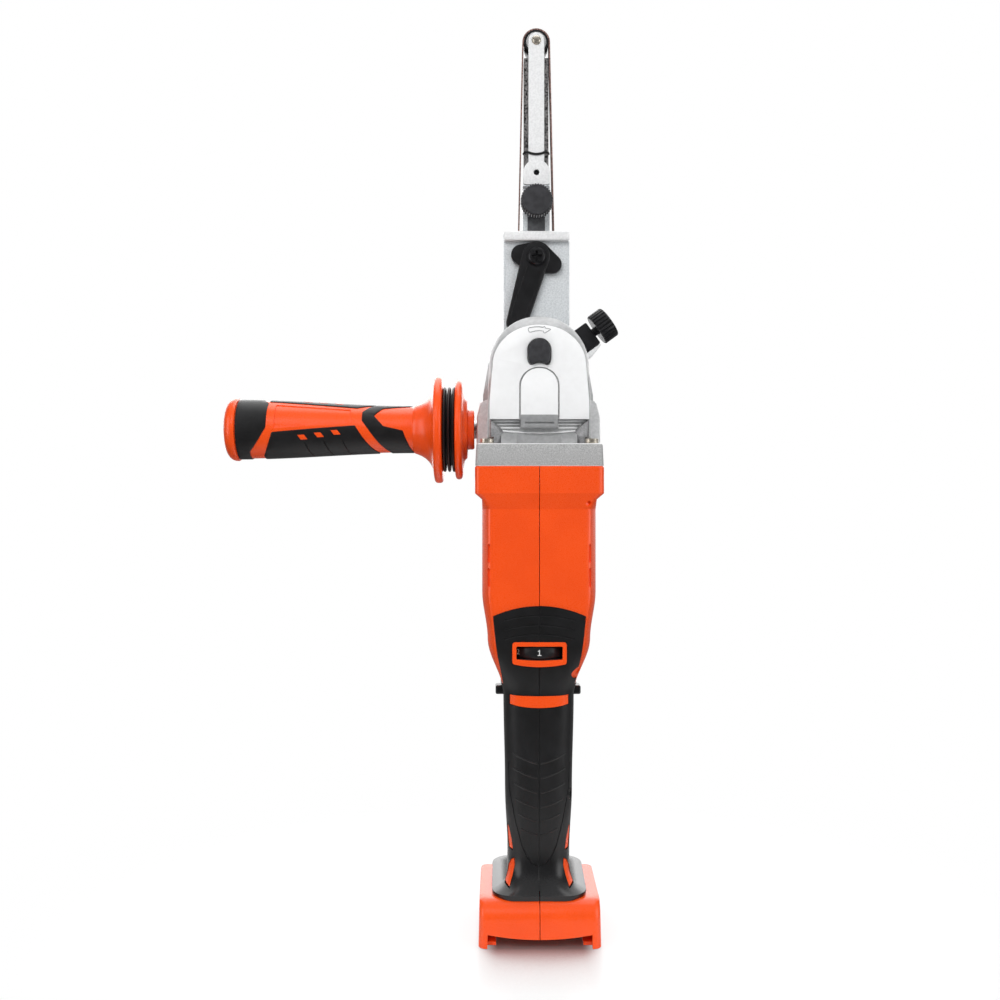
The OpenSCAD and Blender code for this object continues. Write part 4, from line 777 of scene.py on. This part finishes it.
def addSides(body, side):
    foot = head["low"]
    cheek = loft("cheek", [[(side * x, y, foot), (side * x, y, top), (side * x, -17, top),
                            (side * x, -17, foot)] for x, y, top in head["cheek"]])
    boss = loft("boss", [[(side * 27, -12, z + lift), (side * (far - 0.6), -11.4, z), (side * far, -9.5, z),
                          (side * far, 9.5, z), (side * (far - 0.6), 11.4, z), (side * 27, 12, z + lift)]
                         for z, far, lift in head["boss"]])
    fin = loft("fin", [[(side * x, y, z) for x, y in ((26, -3.6), (far, -2.6), (far, 2.6), (26, 3.6))]
                       for z, far in head["fin"]])
    weld(body, cheek, boss, fin)
    for z, far in head["louvres"]:
        low, high = sorted((side * head["louvreStart"], side * far))
        weld(body, block("louvre", (low, -20.5, z - 0.42), (high, -18, z + 0.42)))


def addTongue(body, wider=1.075, higher=0.55):  # a slotted tongue with a moat round it
    half, low, middle = head["tongue"]
    crown = arcOf((0, middle), half, 180, 0, 32)
    moat = [(x * wider, z + (higher if z > middle else 0)) for x, z in crown]
    cut(body, prism("tongueMoat", [(-half * wider, 270)] + moat + [(half * wider, 270)], -30, -25.4))
    tongue = prism("tongue", [(-half, low)] + crown + [(half, low)], -27.25, -20, 0.35, 2, 50)
    lean = ((-28, 286.6), (-27.3, 286.6), (-25.6, 279), (-28, 279))
    cut(tongue, loft("tongueLean", [[(x, y, z) for y, z in lean] for x in (-11, 11)]))
    cut(tongue, block("tongueSlot", (-7.7, -30, 281.5), (7.7, -23.4, 282.5)))
    weld(body, tongue)
    cut(body, prism("tongueFoot", [(-12, 270), (12, 270), (12, 279.3), (-12, 279.3)], -30, -21.2))


def openInside(body):  # gear room, pinion way, fan room, button pocket, sockets and screw ways
    cut(body, rod("gearRoom", "Y", (0, -19.5, head["axis"]), 60, head["cavity"], 64))
    cut(body, rod("pinionWay", "Z", (0, 0, 250), 60, 13.9))
    cut(body, rod("fanRoom", "Z", (0, 0, 250), 19.1, 24))
    cut(body, prism("buttonPocket", buttonOutline(0.4), -40, -22))
    cut(body, rod("pinWay", "Y", (0, -40, head["pin"]), 30, 2.1))
    x, reach = head["screws"]
    for side in (-1, 1):
        cut(body, rod("socket", "X", (side * 21, 0, head["handle"]), side * 20, 5.06))
        for y in (-reach, reach):
            cut(body, rod("screwWay", "Z", (side * x, y, 250), 60, 2.1, 24))
            cut(body, rod("screwSeat", "Z", (side * x, y, 270), 4.4, 3.9, 32))


def makeHead():
    face = arch(*head["faceHalf"], head["faceTop"])
    outer = arch(head["footHalf"], head["radius"], head["axis"] + head["radius"])
    body = loft("gearHead", [[(a + (c - a) * t, y, b + (d - b) * t) for (a, b), (c, d) in zip(face, outer)]
                             for t, y in head["rows"]])
    low, high = head["collar"]
    levels = ((low, 0.3), (low + 0.3, 0), (high - 1.2, 0.5), (high - 0.5, 0.75), (high - 0.05, 1.6))
    weld(body, loft("castCollar", [ringOf(head["collarSection"], z, inset) for z, inset in levels]))
    foot = head["low"]
    weld(body, block("backWall", (-28.6, -19.2, foot), (28.6, 14, 286)))
    half, bow, dip = head["apron"]
    rows = []
    for t in [i / 8 for i in range(-8, 9)]:
        sag = dip * (1 - t ** 2)
        shape = ((-25.4, foot), (-25.4 + bow * t ** 2, 271.2), (-19.8, 277.6 - sag), (-19, 277.9 - sag),
                 (-18, foot))
        rows.append([(half * t, y, z) for y, z in shape])
    weld(body, loft("apron", rows))
    addSides(body, -1)
    addSides(body, 1)
    addTongue(body)
    openInside(body)
    return soften(body, 0.3, 2, 42)


def headLook(face):  # painted light and shade on one casting: lit and shaded copies of its metal, chosen by face
    plain, front, grain, rim, shade = range(5)
    x, y, z = face.center / mm
    across, ahead, up = face.normal
    # the collar's sides keep their grainy cast finish
    if z < 270.65 and abs(up) < 0.5:
        return grain
    # a darker grey on the tongue, and painted shade on the fins' outer faces
    if (abs(x) < 10.3 and z < 286.5 and y < -25) or (z > 294.9 and abs(x) > 27.2 and abs(y) < 4):
        return rim
    # painted highlight: the lit copy on the collar's top, the front face (partly a smoother face too) and the
    # louvre fronts
    if z < 270.8 or (ahead < -0.9 and (y < -26.2 or (279 < z < 284 and -20.6 < y < -20.4))):
        return front
    # painted shade: the darkest copy on the cheeks
    if z < 284.5 and y < -19.2 and ahead < -0.3 and abs(across) > 0.4:
        return shade
    # painted shade: a darker copy on the sloping rim and the trough
    if (z > 284.2 and -26.8 < y < -20.3 and -0.95 < ahead < -0.2) or (z < 279 and abs(x) < 21 and y < -18.9):
        return rim
    return plain


gearHead = makeHead()
settle(gearHead, "housing", "castMetal", "gear_housing", 40)
# painted light and shade: the casting's faces get lit and shaded copies of its metal
paint(gearHead, ("castLitFront", "castGrain", "castRim", "castShade"), headLook)
# painted highlight: a raised bead along the trough's upper edge, in the bright lit copy of the metal
highlightBeadLine = [(20.6 * i / 10, -20.1, 278 - 1.2 * (1 - (i / 10) ** 2)) for i in range(-10, 11)]
settle(tube("apronHighlightBead", highlightBeadLine, 0.45, 12), "housing", "castLitFront", angle=60)
button = prism("lockButton", buttonOutline(-0.2), -30, -26.4, 0.7, 4, 50)
weld(button, rod("pin", "Y", (0, -27, head["pin"]), 9.6, 2, 32))
settle(button, "lock_button", "slateBlack", "lock_button")
paint(button, ["softBlack"], lambda face: int(face.normal.y >= -0.75))  # painted shade: the edge darker than the face, standing for the shadow in the moat round it

arrow = [(-6.1, 332.6), (-5.9, 333.3), (-5.2, 333.6), (-2.6, 334), (0, 334.1), (2, 333.8), (2.9, 334.3),
         (3.2, 333.4), (6.1, 332.8), (5.9, 332.4), (3, 330.7), (2.3, 330.9), (2.2, 331.7), (0, 332),
         (-2.2, 331.8), (-4.8, 331.1), (-5.5, 331.2)]
settle(tube("turnArrow", [(x, -27, z) for x, z in arrow], 0.26, 8, True), "housing", "castRim")
print("gear head", len(gearHead.data.polygons))


# side handle, turned about its own axis along -X, with soft pads laid round it
sideHandle = dict(
    origin=(0, 0, head["handle"]), axis=(-1, 0, 0), start=70.1, end=168.1, slim=13, thick=16.6,
    sunk=0.25, proud=0.25, padLow=-0.7, perDegree=0.26,
    # profiles as (along the handle, radius)
    guard=[(84, 0), (84, 5.1), (53.4, 5.1), (53.4, 28.4), (53.6, 29.3), (54.2, 29.9), (55, 30.1),
           (56.4, 30.1), (57.3, 29.8), (57.9, 29.1), (58.2, 27.6), (58.5, 25), (59.1, 22.4), (60, 20.2),
           (61.4, 18.2), (63.2, 16.4), (65.4, 15), (67.8, 14), (69.4, 13.4)],
    flange=[(35.8, 5.1), (35.8, 10.3), (36.1, 10.9), (36.8, 11.2), (39.2, 11.2), (39.5, 11.8), (39.7, 15.6),
            (40, 16.4), (40.6, 16.8), (41.4, 18), (42, 22), (42.3, 25.6), (42.7, 27.2), (43.4, 27.9),
            (44.2, 28.1), (45.2, 28), (45.9, 27.5), (46.3, 26.6), (46.3, 5.1)],
    cap=[(168.15, 0), (168.15, 17), (168.4, 17.5), (169, 17.7), (170.4, 17.6), (171.8, 17.1), (173, 16.2),
         (174, 14.9), (174.8, 13), (175.3, 10.6), (175.6, 7.6), (175.8, 4), (175.8, 0)],
    damper=dict(ends=(46.4, 53.35), bore=5.1, ribs=(47.25, 49.85, 52.45), middle=22.6, size=(0.85, 1.3),
                groove=[(0.95, 20.2), (1.6, 20.1), (1.75, 20.2)]),
    # edges of the soft pads as (along, angle): 0 faces the front, 90 is up; the back mirrors the front
    endBand=([(167.9, -90), (167.9, 90)],
             [(161, -90), (160.5, -51), (155, -22), (150.9, 2), (150.5, 62), (153.5, 78), (154, 90)]),
    chevron=([(82, -90), (83.4, -69), (98.1, 19), (98.1, 42), (89, 90)],
             [(69.6, -90), (69.8, -75), (75.4, -5), (86.3, 6), (91.4, 32), (86.7, 58), (72, 78), (70.6, 90)]),
    topPad=[(150.3, 70), (101, 57), (91, 80)], lowPad=[(153.3, -66), (147.6, -7.6), (101.9, 7), (89.1, -76)],
    panel=[(146, 57), (104.6, 50), (103.4, 12), (146.5, 0)],
    chips=[(130.7, -18.4), (121.6, -14), (112.4, -9), (129.5, 83), (120.8, 82), (111.8, 80)],
    chip=((2.8, 4.6), (-0.9, 5.4), (-2.8, -4.6), (0.9, -5.4)),
    slits=[((129.6, -30), (125.6, -76)), ((119.2, -27), (114.6, -76)), ((109, -24), (104.6, -76))])


def handleRadius(along):
    t = share(along, sideHandle["start"], sideHandle["end"])
    return sideHandle["slim"] + (sideHandle["thick"] - sideHandle["slim"]) * ease(t)


def roundHandle(along, angle, lift):  # a place on the handle
    radius, turn = handleRadius(along) + lift, math.radians(angle)
    return (-along, -radius * math.cos(turn), sideHandle["origin"][2] + radius * math.sin(turn))


def bisect(place, way, clear=False):
    bpy.ops.mesh.select_all(action="SELECT")
    bpy.ops.mesh.bisect(plane_co=place, plane_no=way, clear_inner=clear, threshold=1e-7)


def wrapPad(name, outline, low, high, ring=False, bevel=0.4):  # a flat pad, cut into strips and wrapped round
    perDegree = sideHandle["perDegree"]
    obj = prism(name, [(a, s * perDegree) for a, s in outline], low, high)
    soften(obj, bevel, 2, 25)
    angles = [s for a, s in outline]
    editStart(obj)
    for s in range(-360, 360, 6):
        if min(angles) < s < max(angles):
            bisect((0, 0, s * perDegree * mm), (0, 0, 1))
    for a in range(66, 172, 5):
        bisect((a * mm, 0, 0), (1, 0, 0))
    if ring:  # trim it to one whole turn
        for s, way in ((-90, 1), (270, -1)):
            bisect((0, 0, s * perDegree * mm), (0, 0, way), True)
    editStop()
    for vert in obj.data.vertices:
        along, lift, arc = vert.co / mm
        vert.co = Vector(roundHandle(along, arc / perDegree, lift)) * mm
    return mend(obj, 0.002)


def across(points, turn=180):  # the same points on the back
    return [(a, turn - s) for a, s in points]


def mirrorEdge(edge):  # carry an edge on round the back
    return edge + across(edge[::-1])


def ringOutline(left, right):  # a pad right round, drawn a little longer than one turn
    rows = [[(row[0][0], -97)] + row + [(row[-1][0], 277)] for row in (mirrorEdge(left), mirrorEdge(right))]
    return rows[0] + rows[1][::-1]


def turned(name, profile):
    return lathe(name, profile, sideHandle["origin"], sideHandle["axis"])


def makeCore():
    end = sideHandle["end"]
    barrel = [(a, handleRadius(a) - sideHandle["sunk"]) for a in heights(sideHandle["start"], end, 4)]
    core = turned("handleCore", sideHandle["guard"] + barrel + [(end, 0)])
    for outline in (sideHandle["panel"], across(sideHandle["panel"])):
        cut(core, wrapPad("panelRecess", outline, -0.75, 2, bevel=0.1))
    return core


def makePads():
    low, proud = sideHandle["padLow"], sideHandle["proud"]
    pads = [wrapPad("handleBand", ringOutline(*sideHandle["endBand"]), low, proud, True),
            wrapPad("handleChevron", ringOutline(*sideHandle["chevron"]), low, proud, True),
            wrapPad("handleTopPad", mirrorEdge(sideHandle["topPad"]), low, proud)]
    under = sideHandle["lowPad"] + across(sideHandle["lowPad"][::-1], -180)
    lowPad = wrapPad("handleLowPad", under, low, proud)
    for slit in sideHandle["slits"]:
        line = divided(slit, 8)
        for row in (line, across(line, -180)):
            cut(lowPad, tube("slit", [roundHandle(a, s, proud) for a, s in row], 0.4))
    return joinUp("handlePads", pads + [lowPad])


def makeChips():
    proud = sideHandle["proud"]
    chips = []
    for a, s in sideHandle["chips"]:
        shape = [(a + b, s + t) for b, t in sideHandle["chip"]]
        for outline in (shape, across(shape, -180 if s < 0 else 180)):
            chips.append(wrapPad("chip", outline, proud - 0.3, proud + 0.12, bevel=0.1))
    return joinUp("handleChips", chips)


def makeDamper():
    damper = sideHandle["damper"]
    start, end = damper["ends"]
    profile = [(start, damper["bore"])]
    for rib in damper["ribs"]:
        profile += arcOf((rib, damper["middle"]), damper["size"][0], 180, 0, 9, damper["size"][1])
        if rib != damper["ribs"][-1]:
            profile += [(rib + a, r) for a, r in damper["groove"]]
    return turned("handleDamper", profile + [(end, 20.2), (end, damper["bore"])])


settleOrange(makeCore(), "handle_core", 40)
settle(makePads(), "housing", "softBlack", "handle_overmould", 40)
settleOrange(makeChips())
settleOrange(turned("handleFlange", sideHandle["flange"]), "handle_flange", 40)
settle(makeDamper(), "housing", "softBlack", "handle_damper", 40)
settleOrange(turned("handleCap", sideHandle["cap"]), "handle_end_cap", 40)
print("side handle")


# belt arm: plate with a pillow lip, cam lever, knobs
armPlate = dict(axis=313.5, ring=25, half=19.4, top=396.9, wall=2.5, face=26, neck=29, back=48.2, bore=19.05,
                lip=((-19.1, 21.4, 391.3), (19.1, 27.5, 396.95)), pivot=381.9, travel=7.2, slot=2.8)
clamp = dict(turn=-36, y=22.2, sides=(18.7, 25.7), seat=(21, 26.5, 7.9), lug=(26.6, 40.5, 7.3), knob=43,
             bore=2.56)


def armOutline(grow):  # the ring with the square arm above it
    radius, half, top = (armPlate[key] + grow for key in ("ring", "half", "top"))
    start = math.degrees(math.asin(half / radius))
    return [(-half, top), (half, top)] + arcOf((0, armPlate["axis"]), radius, 90 - start, start - 270, 56)


def leanOut(obj):  # from the level to the clamp's place on the ring
    return turnAbout(obj, clamp["turn"], (0, 1, 0), (0, 0, armPlate["axis"]))


def clampBlock(name, near, far, half, bevel=0):
    (front, back), axis = clamp["sides"], armPlate["axis"]
    return block(name, (near, front, axis - half), (far, back, axis + half), bevel)


def makeArmPlate():
    axis, half, face, neck, back, wall, top, pivot, slot = (
        armPlate[key] for key in ("axis", "half", "face", "neck", "back", "wall", "top", "pivot", "slot"))
    plate = prism("armPlate", armOutline(0), face, back, 0.9, 3, 40)
    cut(plate, prism("bay", armOutline(-wall), neck, back + 5))
    cut(plate, block("mouth", (wall - half, neck, top - 10), (half - wall, back + 5, top + 5)))
    weld(plate, rod("clampRing", "Y", (0, 18.4, axis), 8.6, 24.5, 96, 0.5))
    weld(plate, block("lip", *armPlate["lip"], 1.1, 4))
    for x in (-18.5, 18.5):  # a fold line along each edge
        cut(plate, tube("foldLine", [(x, face, 330), (x, face, 390.6)], 0.3))
    for left, right in ((-7.8, -5.4), (5.4, 7.8)):
        weld(plate, block("guide", (left, 28, 357.9), (right, 38, 377)))
    weld(plate, block("springSeat", (-7.8, 28, 334.1), (7.8, 41, 337.05)))
    weld(plate, leanOut(clampBlock("clampSeat", *clamp["seat"])))
    cut(plate, rod("neckBore", "Y", (0, 10, axis), 19.1, armPlate["bore"], 96))
    cut(plate, leanOut(rod("studWay", "X", (15, clamp["y"], axis), 40, 2.6, 32)))
    ends = ((0, pivot, slot), (0, pivot - armPlate["travel"], slot))
    cut(plate, prism("leverSlot", aroundDiscs(*ends), 10, 30))
    return plate


# painted highlight: the pillow lip gets the paler metal, so it shows lighter than the plate
def onLip(face):
    return int(face.center.z > 391.2 * mm and face.center.y < 27.6 * mm)


plate = makeArmPlate()
settle(plate, "arm_base", "greyPaint", "arm_housing", 40)
paint(plate, ["paleMetal"], onLip)

# the lever's outlines are discs of (x, z, radius) about its pivot
lever = dict(hub=(0, 0, 9), ears=((-9.1, 1.4, 5.8), (9.3, -4.2, 5.3)),
             arm=((-0.4, 0.4, 8.2), (-11.6, -38.5, 6.2)), front=21.5, earFront=22.3, back=25.5, bore=2.56,
             creases=(((5.3, -6), (-7.3, -36)), ((-5.3, -6), (-15.9, -36))),
             screw=[(0, 0), (0.05, 2), (0.3, 3.6), (0.8, 4.7), (1.5, 5.3), (2.3, 5.4), (2.6, 5.3), (2.6, 2.5),
                    (14, 2.5), (14, 0)], cross=(2.9, 0.65))


def leverShape(name, front, discs, *soft):
    outline = aroundDiscs(*[(x, armPlate["pivot"] + z, r) for x, z, r in discs])
    return prism(name, outline, front, lever["back"], *soft)


def makeLever():
    pivot, front = armPlate["pivot"], lever["front"]
    left, right = lever["ears"]
    ears = leverShape("camLever", lever["earFront"], (lever["hub"], left))
    weld(ears, leverShape("earRight", lever["earFront"], (lever["hub"], right)))
    soften(ears, 0.7, 3, 40)
    arm = leverShape("leverArm", front, lever["arm"], 0.8, 3, 40)
    for crease in lever["creases"]:
        cut(arm, tube("crease", [(x, front, pivot + z) for x, z in crease], 0.3))
    weld(ears, arm)
    return cut(ears, rod("pivotBore", "Y", (0, 10, pivot), 30, lever["bore"], 40))


def makeLeverScrew():
    pivot = armPlate["pivot"]
    screw = lathe("leverScrew", lever["screw"], (0, 18.7, pivot), (0, 1, 0), 64)
    long, short = lever["cross"]
    for x, z in ((long, short), (short, long)):
        cut(screw, block("cross", (-x, 15, pivot - z), (x, 20.2, pivot + z)))
    return screw


settle(makeLever(), "lever", "blackPlastic", "tension_lever", 40)
settle(makeLeverScrew(), "arm", "blackedSteel", "lever_screw", 40)


def knob(name, radius, length, grooves, depth, turn, place):  # a grooved grip, turned to face outwards
    dips = (1, 0.45, 0, 0, 0, 0.45)
    count = grooves * len(dips)

    def row(z, size, keen):
        points = []
        for i in range(count):
            r, t = radius * size - depth * keen * dips[i % len(dips)], 2 * math.pi * i / count
            points.append((r * math.cos(t), r * math.sin(t), z))
        return points

    levels = ((0, 0.94, 0.6), (0.6, 1, 1), (length - 0.9, 1, 1), (length - 0.3, 0.965, 0.7),
              (length, 0.91, 0), (length, 0.84, 0), (length - 0.25, 0.8, 0), (length - 0.25, 0.5, 0))
    obj = turnAbout(loft(name, [row(*level) for level in levels]), 90, turn)
    obj.location = [v * mm for v in place]
    return fixPlace(obj)


trackingHeight = 414.05
tracking = knob("trackingKnob", 9.35, 9.4, 36, 0.75, (1, 0, 0), (0, 25.6, trackingHeight))
weld(tracking, rod("knobStud", "Y", (0, 24, trackingHeight), 19, 2.5, 32))
settle(tracking, "tracking", "slateBlack", "tracking_knob", 30)
# painted highlight: a pale metal ring inside the tracking knob, showing through its grooves as bright stripes
glintRingProfile = [(19, 3), (19, 8.7), (19.2, 8.85), (24.9, 8.85), (25.1, 8.7), (25.1, 3)]
settle(lathe("knobGlintRing", glintRingProfile, (0, 0, trackingHeight), (0, 1, 0)), "tracking", "paleMetal")

clampY, axis = clamp["y"], armPlate["axis"]
clampKnob = knob("clampKnob", 9.4, 9.4, 26, 0.7, (0, 1, 0), (clamp["knob"], clampY, axis))
weld(clampKnob, rod("clampStud", "X", (19.4, clampY, axis), 25, 2.45, 32))
settle(leanOut(clampKnob), "clamp", "blackPlastic", "clamp_knob", 30)
clampLug = clampBlock("clampLug", *clamp["lug"], 0.8)
cut(clampLug, rod("lugBore", "X", (20, clampY, axis), 30, clamp["bore"], 32))
settle(leanOut(clampLug), "arm_base", "blackPlastic", "clamp_block")
earOutline = [(26.4, 320.6), (29.6, 321.6), (32, 323.4), (37.4, 330.3), (36.7, 331), (26, 323.2)]
ear = prism("clampEar", earOutline, 19.6, 25.2, 0.5, 3, 40)
settle(ear, "arm_base", "paleMetal", angle=40)


# file arm: rounded tab, roller face and pin, and the rubber line round the platens
fileArm = dict(
    tab=432.05, tabHalf=7.75, tabLow=424.9, tip=510.535, line=443.4,
    plug=[(26.9, 0), (26.9, 1.2), (27.1, 1.5), (29.5, 1.5), (29.5, 0)], pinEnds=(26.5, 49.5),
    pinHead=[(0, 0), (0.06, 0.9), (0.3, 1.7), (0.75, 2.35), (1.3, 2.7), (1.75, 2.8), (1.8, 2.75),
             (1.8, 2.48)],
    roller=[(30.9, 2.65), (30.9, 5.7), (31.0, 5.9), (31.3, 5.9), (31.3, 2.65)],
    # the rubber line's half: straight part, then its way back round the side above its middle
    lineHalf=4.7, lineBack=[(5.5, 28.3, 1.35), (6.3, 29.8, 1.6), (7, 31.4, 1.7), (7.4, 34, 1.7)])


def turnedY(name, profile, z, steps):
    return lathe(name, profile, (0, 0, z), (0, 1, 0), steps)


half, low, z = fileArm["tabHalf"], fileArm["tabLow"], fileArm["tab"]
corner = [(half - 1.4, low), (half - 0.4, low + 0.4), (half, low + 1.4)]
tab = prism("tabPlate", arcOf((0, z), half, 0, 180, 24) + flipped(corner) + corner, 25.5, 27.6)
cut(tab, rod("tabHole", "Y", (0, 20, z), 10, 1.65, 32))
soften(tab, 0.8, 4, 60)
settle(tab, "arm", "paleMetal", angle=40)
paint(tab, ["castShade"], lambda face: int(face.normal.y > -0.95))  # painted shade: a darker copy on its rounded edge, so the tab stands apart from the strip
settle(turnedY("tabPlug", fileArm["plug"], z, 32), "arm", "blackedSteel")
z = fileArm["tip"]
front, back = fileArm["pinEnds"]
pinHead = fileArm["pinHead"]
pinProfile = [(front + a, r) for a, r in pinHead] + [(back - a, r) for a, r in pinHead[::-1]]
settle(turnedY("tipPin", pinProfile, z, 64), "arm", "zincScrew", "tip_pin", 50)
settle(turnedY("rollerFace", fileArm["roller"], z, 64), "tip_roller", "castRim")
z = fileArm["line"]
right = [(x, 27.75, z + 0.045 * x ** 2) for x in [fileArm["lineHalf"] * i / 6 for i in range(7)]]
right += [(x, y, z + up) for x, y, up in fileArm["lineBack"]]
settle(tube("padLine", flipped(right[1:]) + right, 0.7, 12), "arm", "softBlack", angle=60)
print("arm plate, lever, knobs and tip")


# abrasive belt and the springs, each with a mesh of its own
belt = dict(wheel=11.8, tip=7.4, thick=0.8, low=armPlate["axis"], high=fileArm["tip"], sides=(31.5, 44.5))


def beltRow(grow, y):
    lean = math.degrees(math.asin((belt["wheel"] - belt["tip"]) / (belt["high"] - belt["low"])))
    row = arcOf((0, belt["high"]), belt["tip"] + grow, lean, 180 - lean, 40)
    row += arcOf((0, belt["low"]), belt["wheel"] + grow, 180 - lean, 360 + lean, 40)
    return [(x, y, z) for x, z in row]


(front, back), thick = belt["sides"], belt["thick"]
rows = [beltRow(grow, y) for grow, y in ((0, front), (thick, front), (thick, back), (0, back))]
loop = loft("abrasiveBelt", rows, hollow=True)
settle(loop, "arm_base", "beltCloth", "abrasive_belt")
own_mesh(loop)


def spring(name, node, body, start, axis, radius, wire, length, turns, steps=20):
    along = Vector(axis)
    across = Vector((1, 0, 0)) if abs(along.x) < 0.5 else Vector((0, 1, 0))
    other = along.cross(across)
    count = turns * steps
    line = []
    for i in range(count + 1):
        t = 2 * math.pi * i / steps
        middle = Vector(start) + along * (wire + (length - 2 * wire) * i / count)
        line.append(middle + across * radius * math.cos(t) + other * radius * math.sin(t))
    return settle(tube(name, line, wire, 12), body, "brightSteel", node)


tension = spring("tensionCoil", "tension_spring", "arm_base", (0, 35.15, 337.1), (0, 0, 1), 4, 0.6, 19.8, 6)
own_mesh(tension)
pull = spring("triggerCoil", "trigger_spring", "housing", (0, 4, 111.5), (0, 1, 0), 3.2, 0.4, 7.5, 4)
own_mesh(pull)
press = spring("lockCoil", "lock_spring", "housing", (0, -26.4, 323.1), (0, 1, 0), 3, 0.35, 4.2, 3)
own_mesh(press)
print("belt and springs")


# camera, light and floor
eye = bpy.data.cameras.new("eye")
eye.lens, eye.sensor_width = 43.96, 36
camera = bpy.data.objects.new("eye", eye)
camera.location = (-0.0214, -0.69, 0.24)
camera.rotation_euler = (math.pi / 2, 0, 0)
scene.collection.objects.link(camera)
scene.camera = camera

plainWhite = (1, 1, 1, 1)
world = bpy.data.worlds.new("studio")
scene.world = world
world.use_nodes = True
air = world.node_tree
air.nodes.clear()
rays = addNode(air, "LightPath").outputs
seen = feed(air, "Math", rays["Is Camera Ray"], rays["Is Glossy Ray"], operation="MAXIMUM")
seen = feed(air, "Math", seen, rays["Is Transmission Ray"], operation="MAXIMUM")
# what gloss sees: a white backdrop, dimmer sides and floor, a dark room behind the camera
sight = feed(air, "TexCoord", out="Generated")
ahead = spread(air, feed(air, "SeparateXYZ", sight, out="Y"), 0, 1, -1, 1)
upward = feed(air, "SeparateXYZ", sight, out="Z")
tones = ((0, 0.03), (0.35, 0.05), (0.5, 0.15), (0.76, 0.15), (0.88, 1), (1, 1))
room = tint(air, ahead, *[(place, tone, tone, tone) for place, tone in tones])
room = feed(air, "Math", room, spread(air, upward, 0.25, 1, -0.12, 0.02), operation="MULTIPLY")
ceiling = spread(air, upward, 0, 0.55, 0.55, 0.9, "SMOOTHSTEP")
level = feed(air, "Math", room, ceiling, operation="MAXIMUM")
level = feed(air, "Math", level, rays["Is Camera Ray"], operation="MAXIMUM")
dim = addNode(air, "Background", Color=plainWhite, Strength=0.42)
white = addNode(air, "Background", Color=plainWhite)
air.links.new(level, white.inputs["Strength"])
sky = feed(air, "MixShader", seen, dim.outputs[0], white.outputs[0])
air.links.new(sky, addNode(air, "OutputWorld").inputs["Surface"])


def lamp(name, place, aim, size, power, soft=True, gloss=True):
    light = bpy.data.lights.new(name, "AREA")
    light.shape = "RECTANGLE"
    light.size, light.size_y = size
    light.energy = power
    obj = bpy.data.objects.new(name, light)
    obj.location = place
    obj.rotation_euler = (Vector(aim) - Vector(place)).to_track_quat("-Z", "Y").to_euler()
    obj.visible_camera, obj.visible_diffuse, obj.visible_glossy = False, soft, gloss
    scene.collection.objects.link(obj)


lamp("keyLamp", (-0.35, -1.0, 0.95), (0, 0, 0.28), (0.8, 0.6), 8.6, gloss=False)
lamp("fillLamp", (0.7, -0.9, 0.45), (0, 0, 0.25), (0.5, 0.8), 3.2, gloss=False)
lamp("topLamp", (0, 0.2, 1.2), (0, 0, 0.2), (0.8, 0.6), 3)
lamp("skyLamp", (0, 0.75, 0.95), (0, 0, 0.1), (1.4, 0.7), 4.6)
lamp("backLamp", (0, 1.1, 0.6), (0, 0, 0.4), (1.6, 0.7), 3)
lamp("backShine", (0, 1.16, 0.6), (0, 0, 0.4), (1.6, 0.7), 5, soft=False)
for side in (-1, 1):  # tall boxes that only draw the shine along the edges
    lamp("edgeLamp", (side * 0.91, -0.41, 0.44), (0, 0, 0.44), (0.42, 0.84), 3, soft=False)

bpy.ops.mesh.primitive_circle_add(vertices=96, radius=4, fill_type="NGON", location=(0, 0, -0.0002))
floor = newest("floor")
floorFinish = bpy.data.materials.new("paleFloor")
floorFinish.use_nodes = True
ground = floorFinish.node_tree
ground.nodes.clear()
spot = feed(ground, "TexCoord", out="Object")
# a painted warm shadow where the foot stands close, from how closed in the floor is there, and less of it at
# the sides, as if the light came from behind
near = addNode(ground, "AmbientOcclusion", samples=12, Distance=0.06)
paintedFootShadow = tint(ground, near.outputs["AO"], (0, 0.03, 0.008, 0.006), (0.4, 0.10, 0.035, 0.03),
               (0.58, 0.26, 0.11, 0.10), (0.72, 0.42, 0.22, 0.21), (0.87, 0.78, 0.68, 0.67),
               (0.96, 0.965, 0.95, 0.95), (1, 1, 1, 1))
sideways = feed(ground, "SeparateXYZ", spot, out="X")
wide = feed(ground, "Math", sideways, operation="ABSOLUTE")
tone = addNode(ground, "Mix", data_type="RGBA")
tone.inputs[6].default_value = plainWhite
ground.links.new(spread(ground, wide, 1, 0.08, 0.022, 0.036, "SMOOTHSTEP"), tone.inputs[0])
ground.links.new(paintedFootShadow, tone.inputs[7])
glow = feed(ground, "Emission", tone.outputs[2], Strength=1.0)
paper = addNode(ground, "BsdfPrincipled", Roughness=0.25)
paper.inputs["Base Color"].default_value = (0.97, 0.97, 0.97, 1)
direct = spread(ground, feed(ground, "LightPath", out="Is Camera Ray"), 0, 0.82, 0, 1)
lay = feed(ground, "MixShader", direct, paper.outputs[0], glow)
# the floor fades out into the white round it
reach = feed(ground, "VectorMath", spot, out="Value", operation="LENGTH")
fade = spread(ground, reach, 0, 1, 0.08, 0.30, "SMOOTHSTEP")
edge = feed(ground, "MixShader", fade, lay, feed(ground, "BsdfTransparent"))
ground.links.new(edge, addNode(ground, "OutputMaterial").inputs["Surface"])
floor.data.materials.append(floorFinish)
print("stage set")
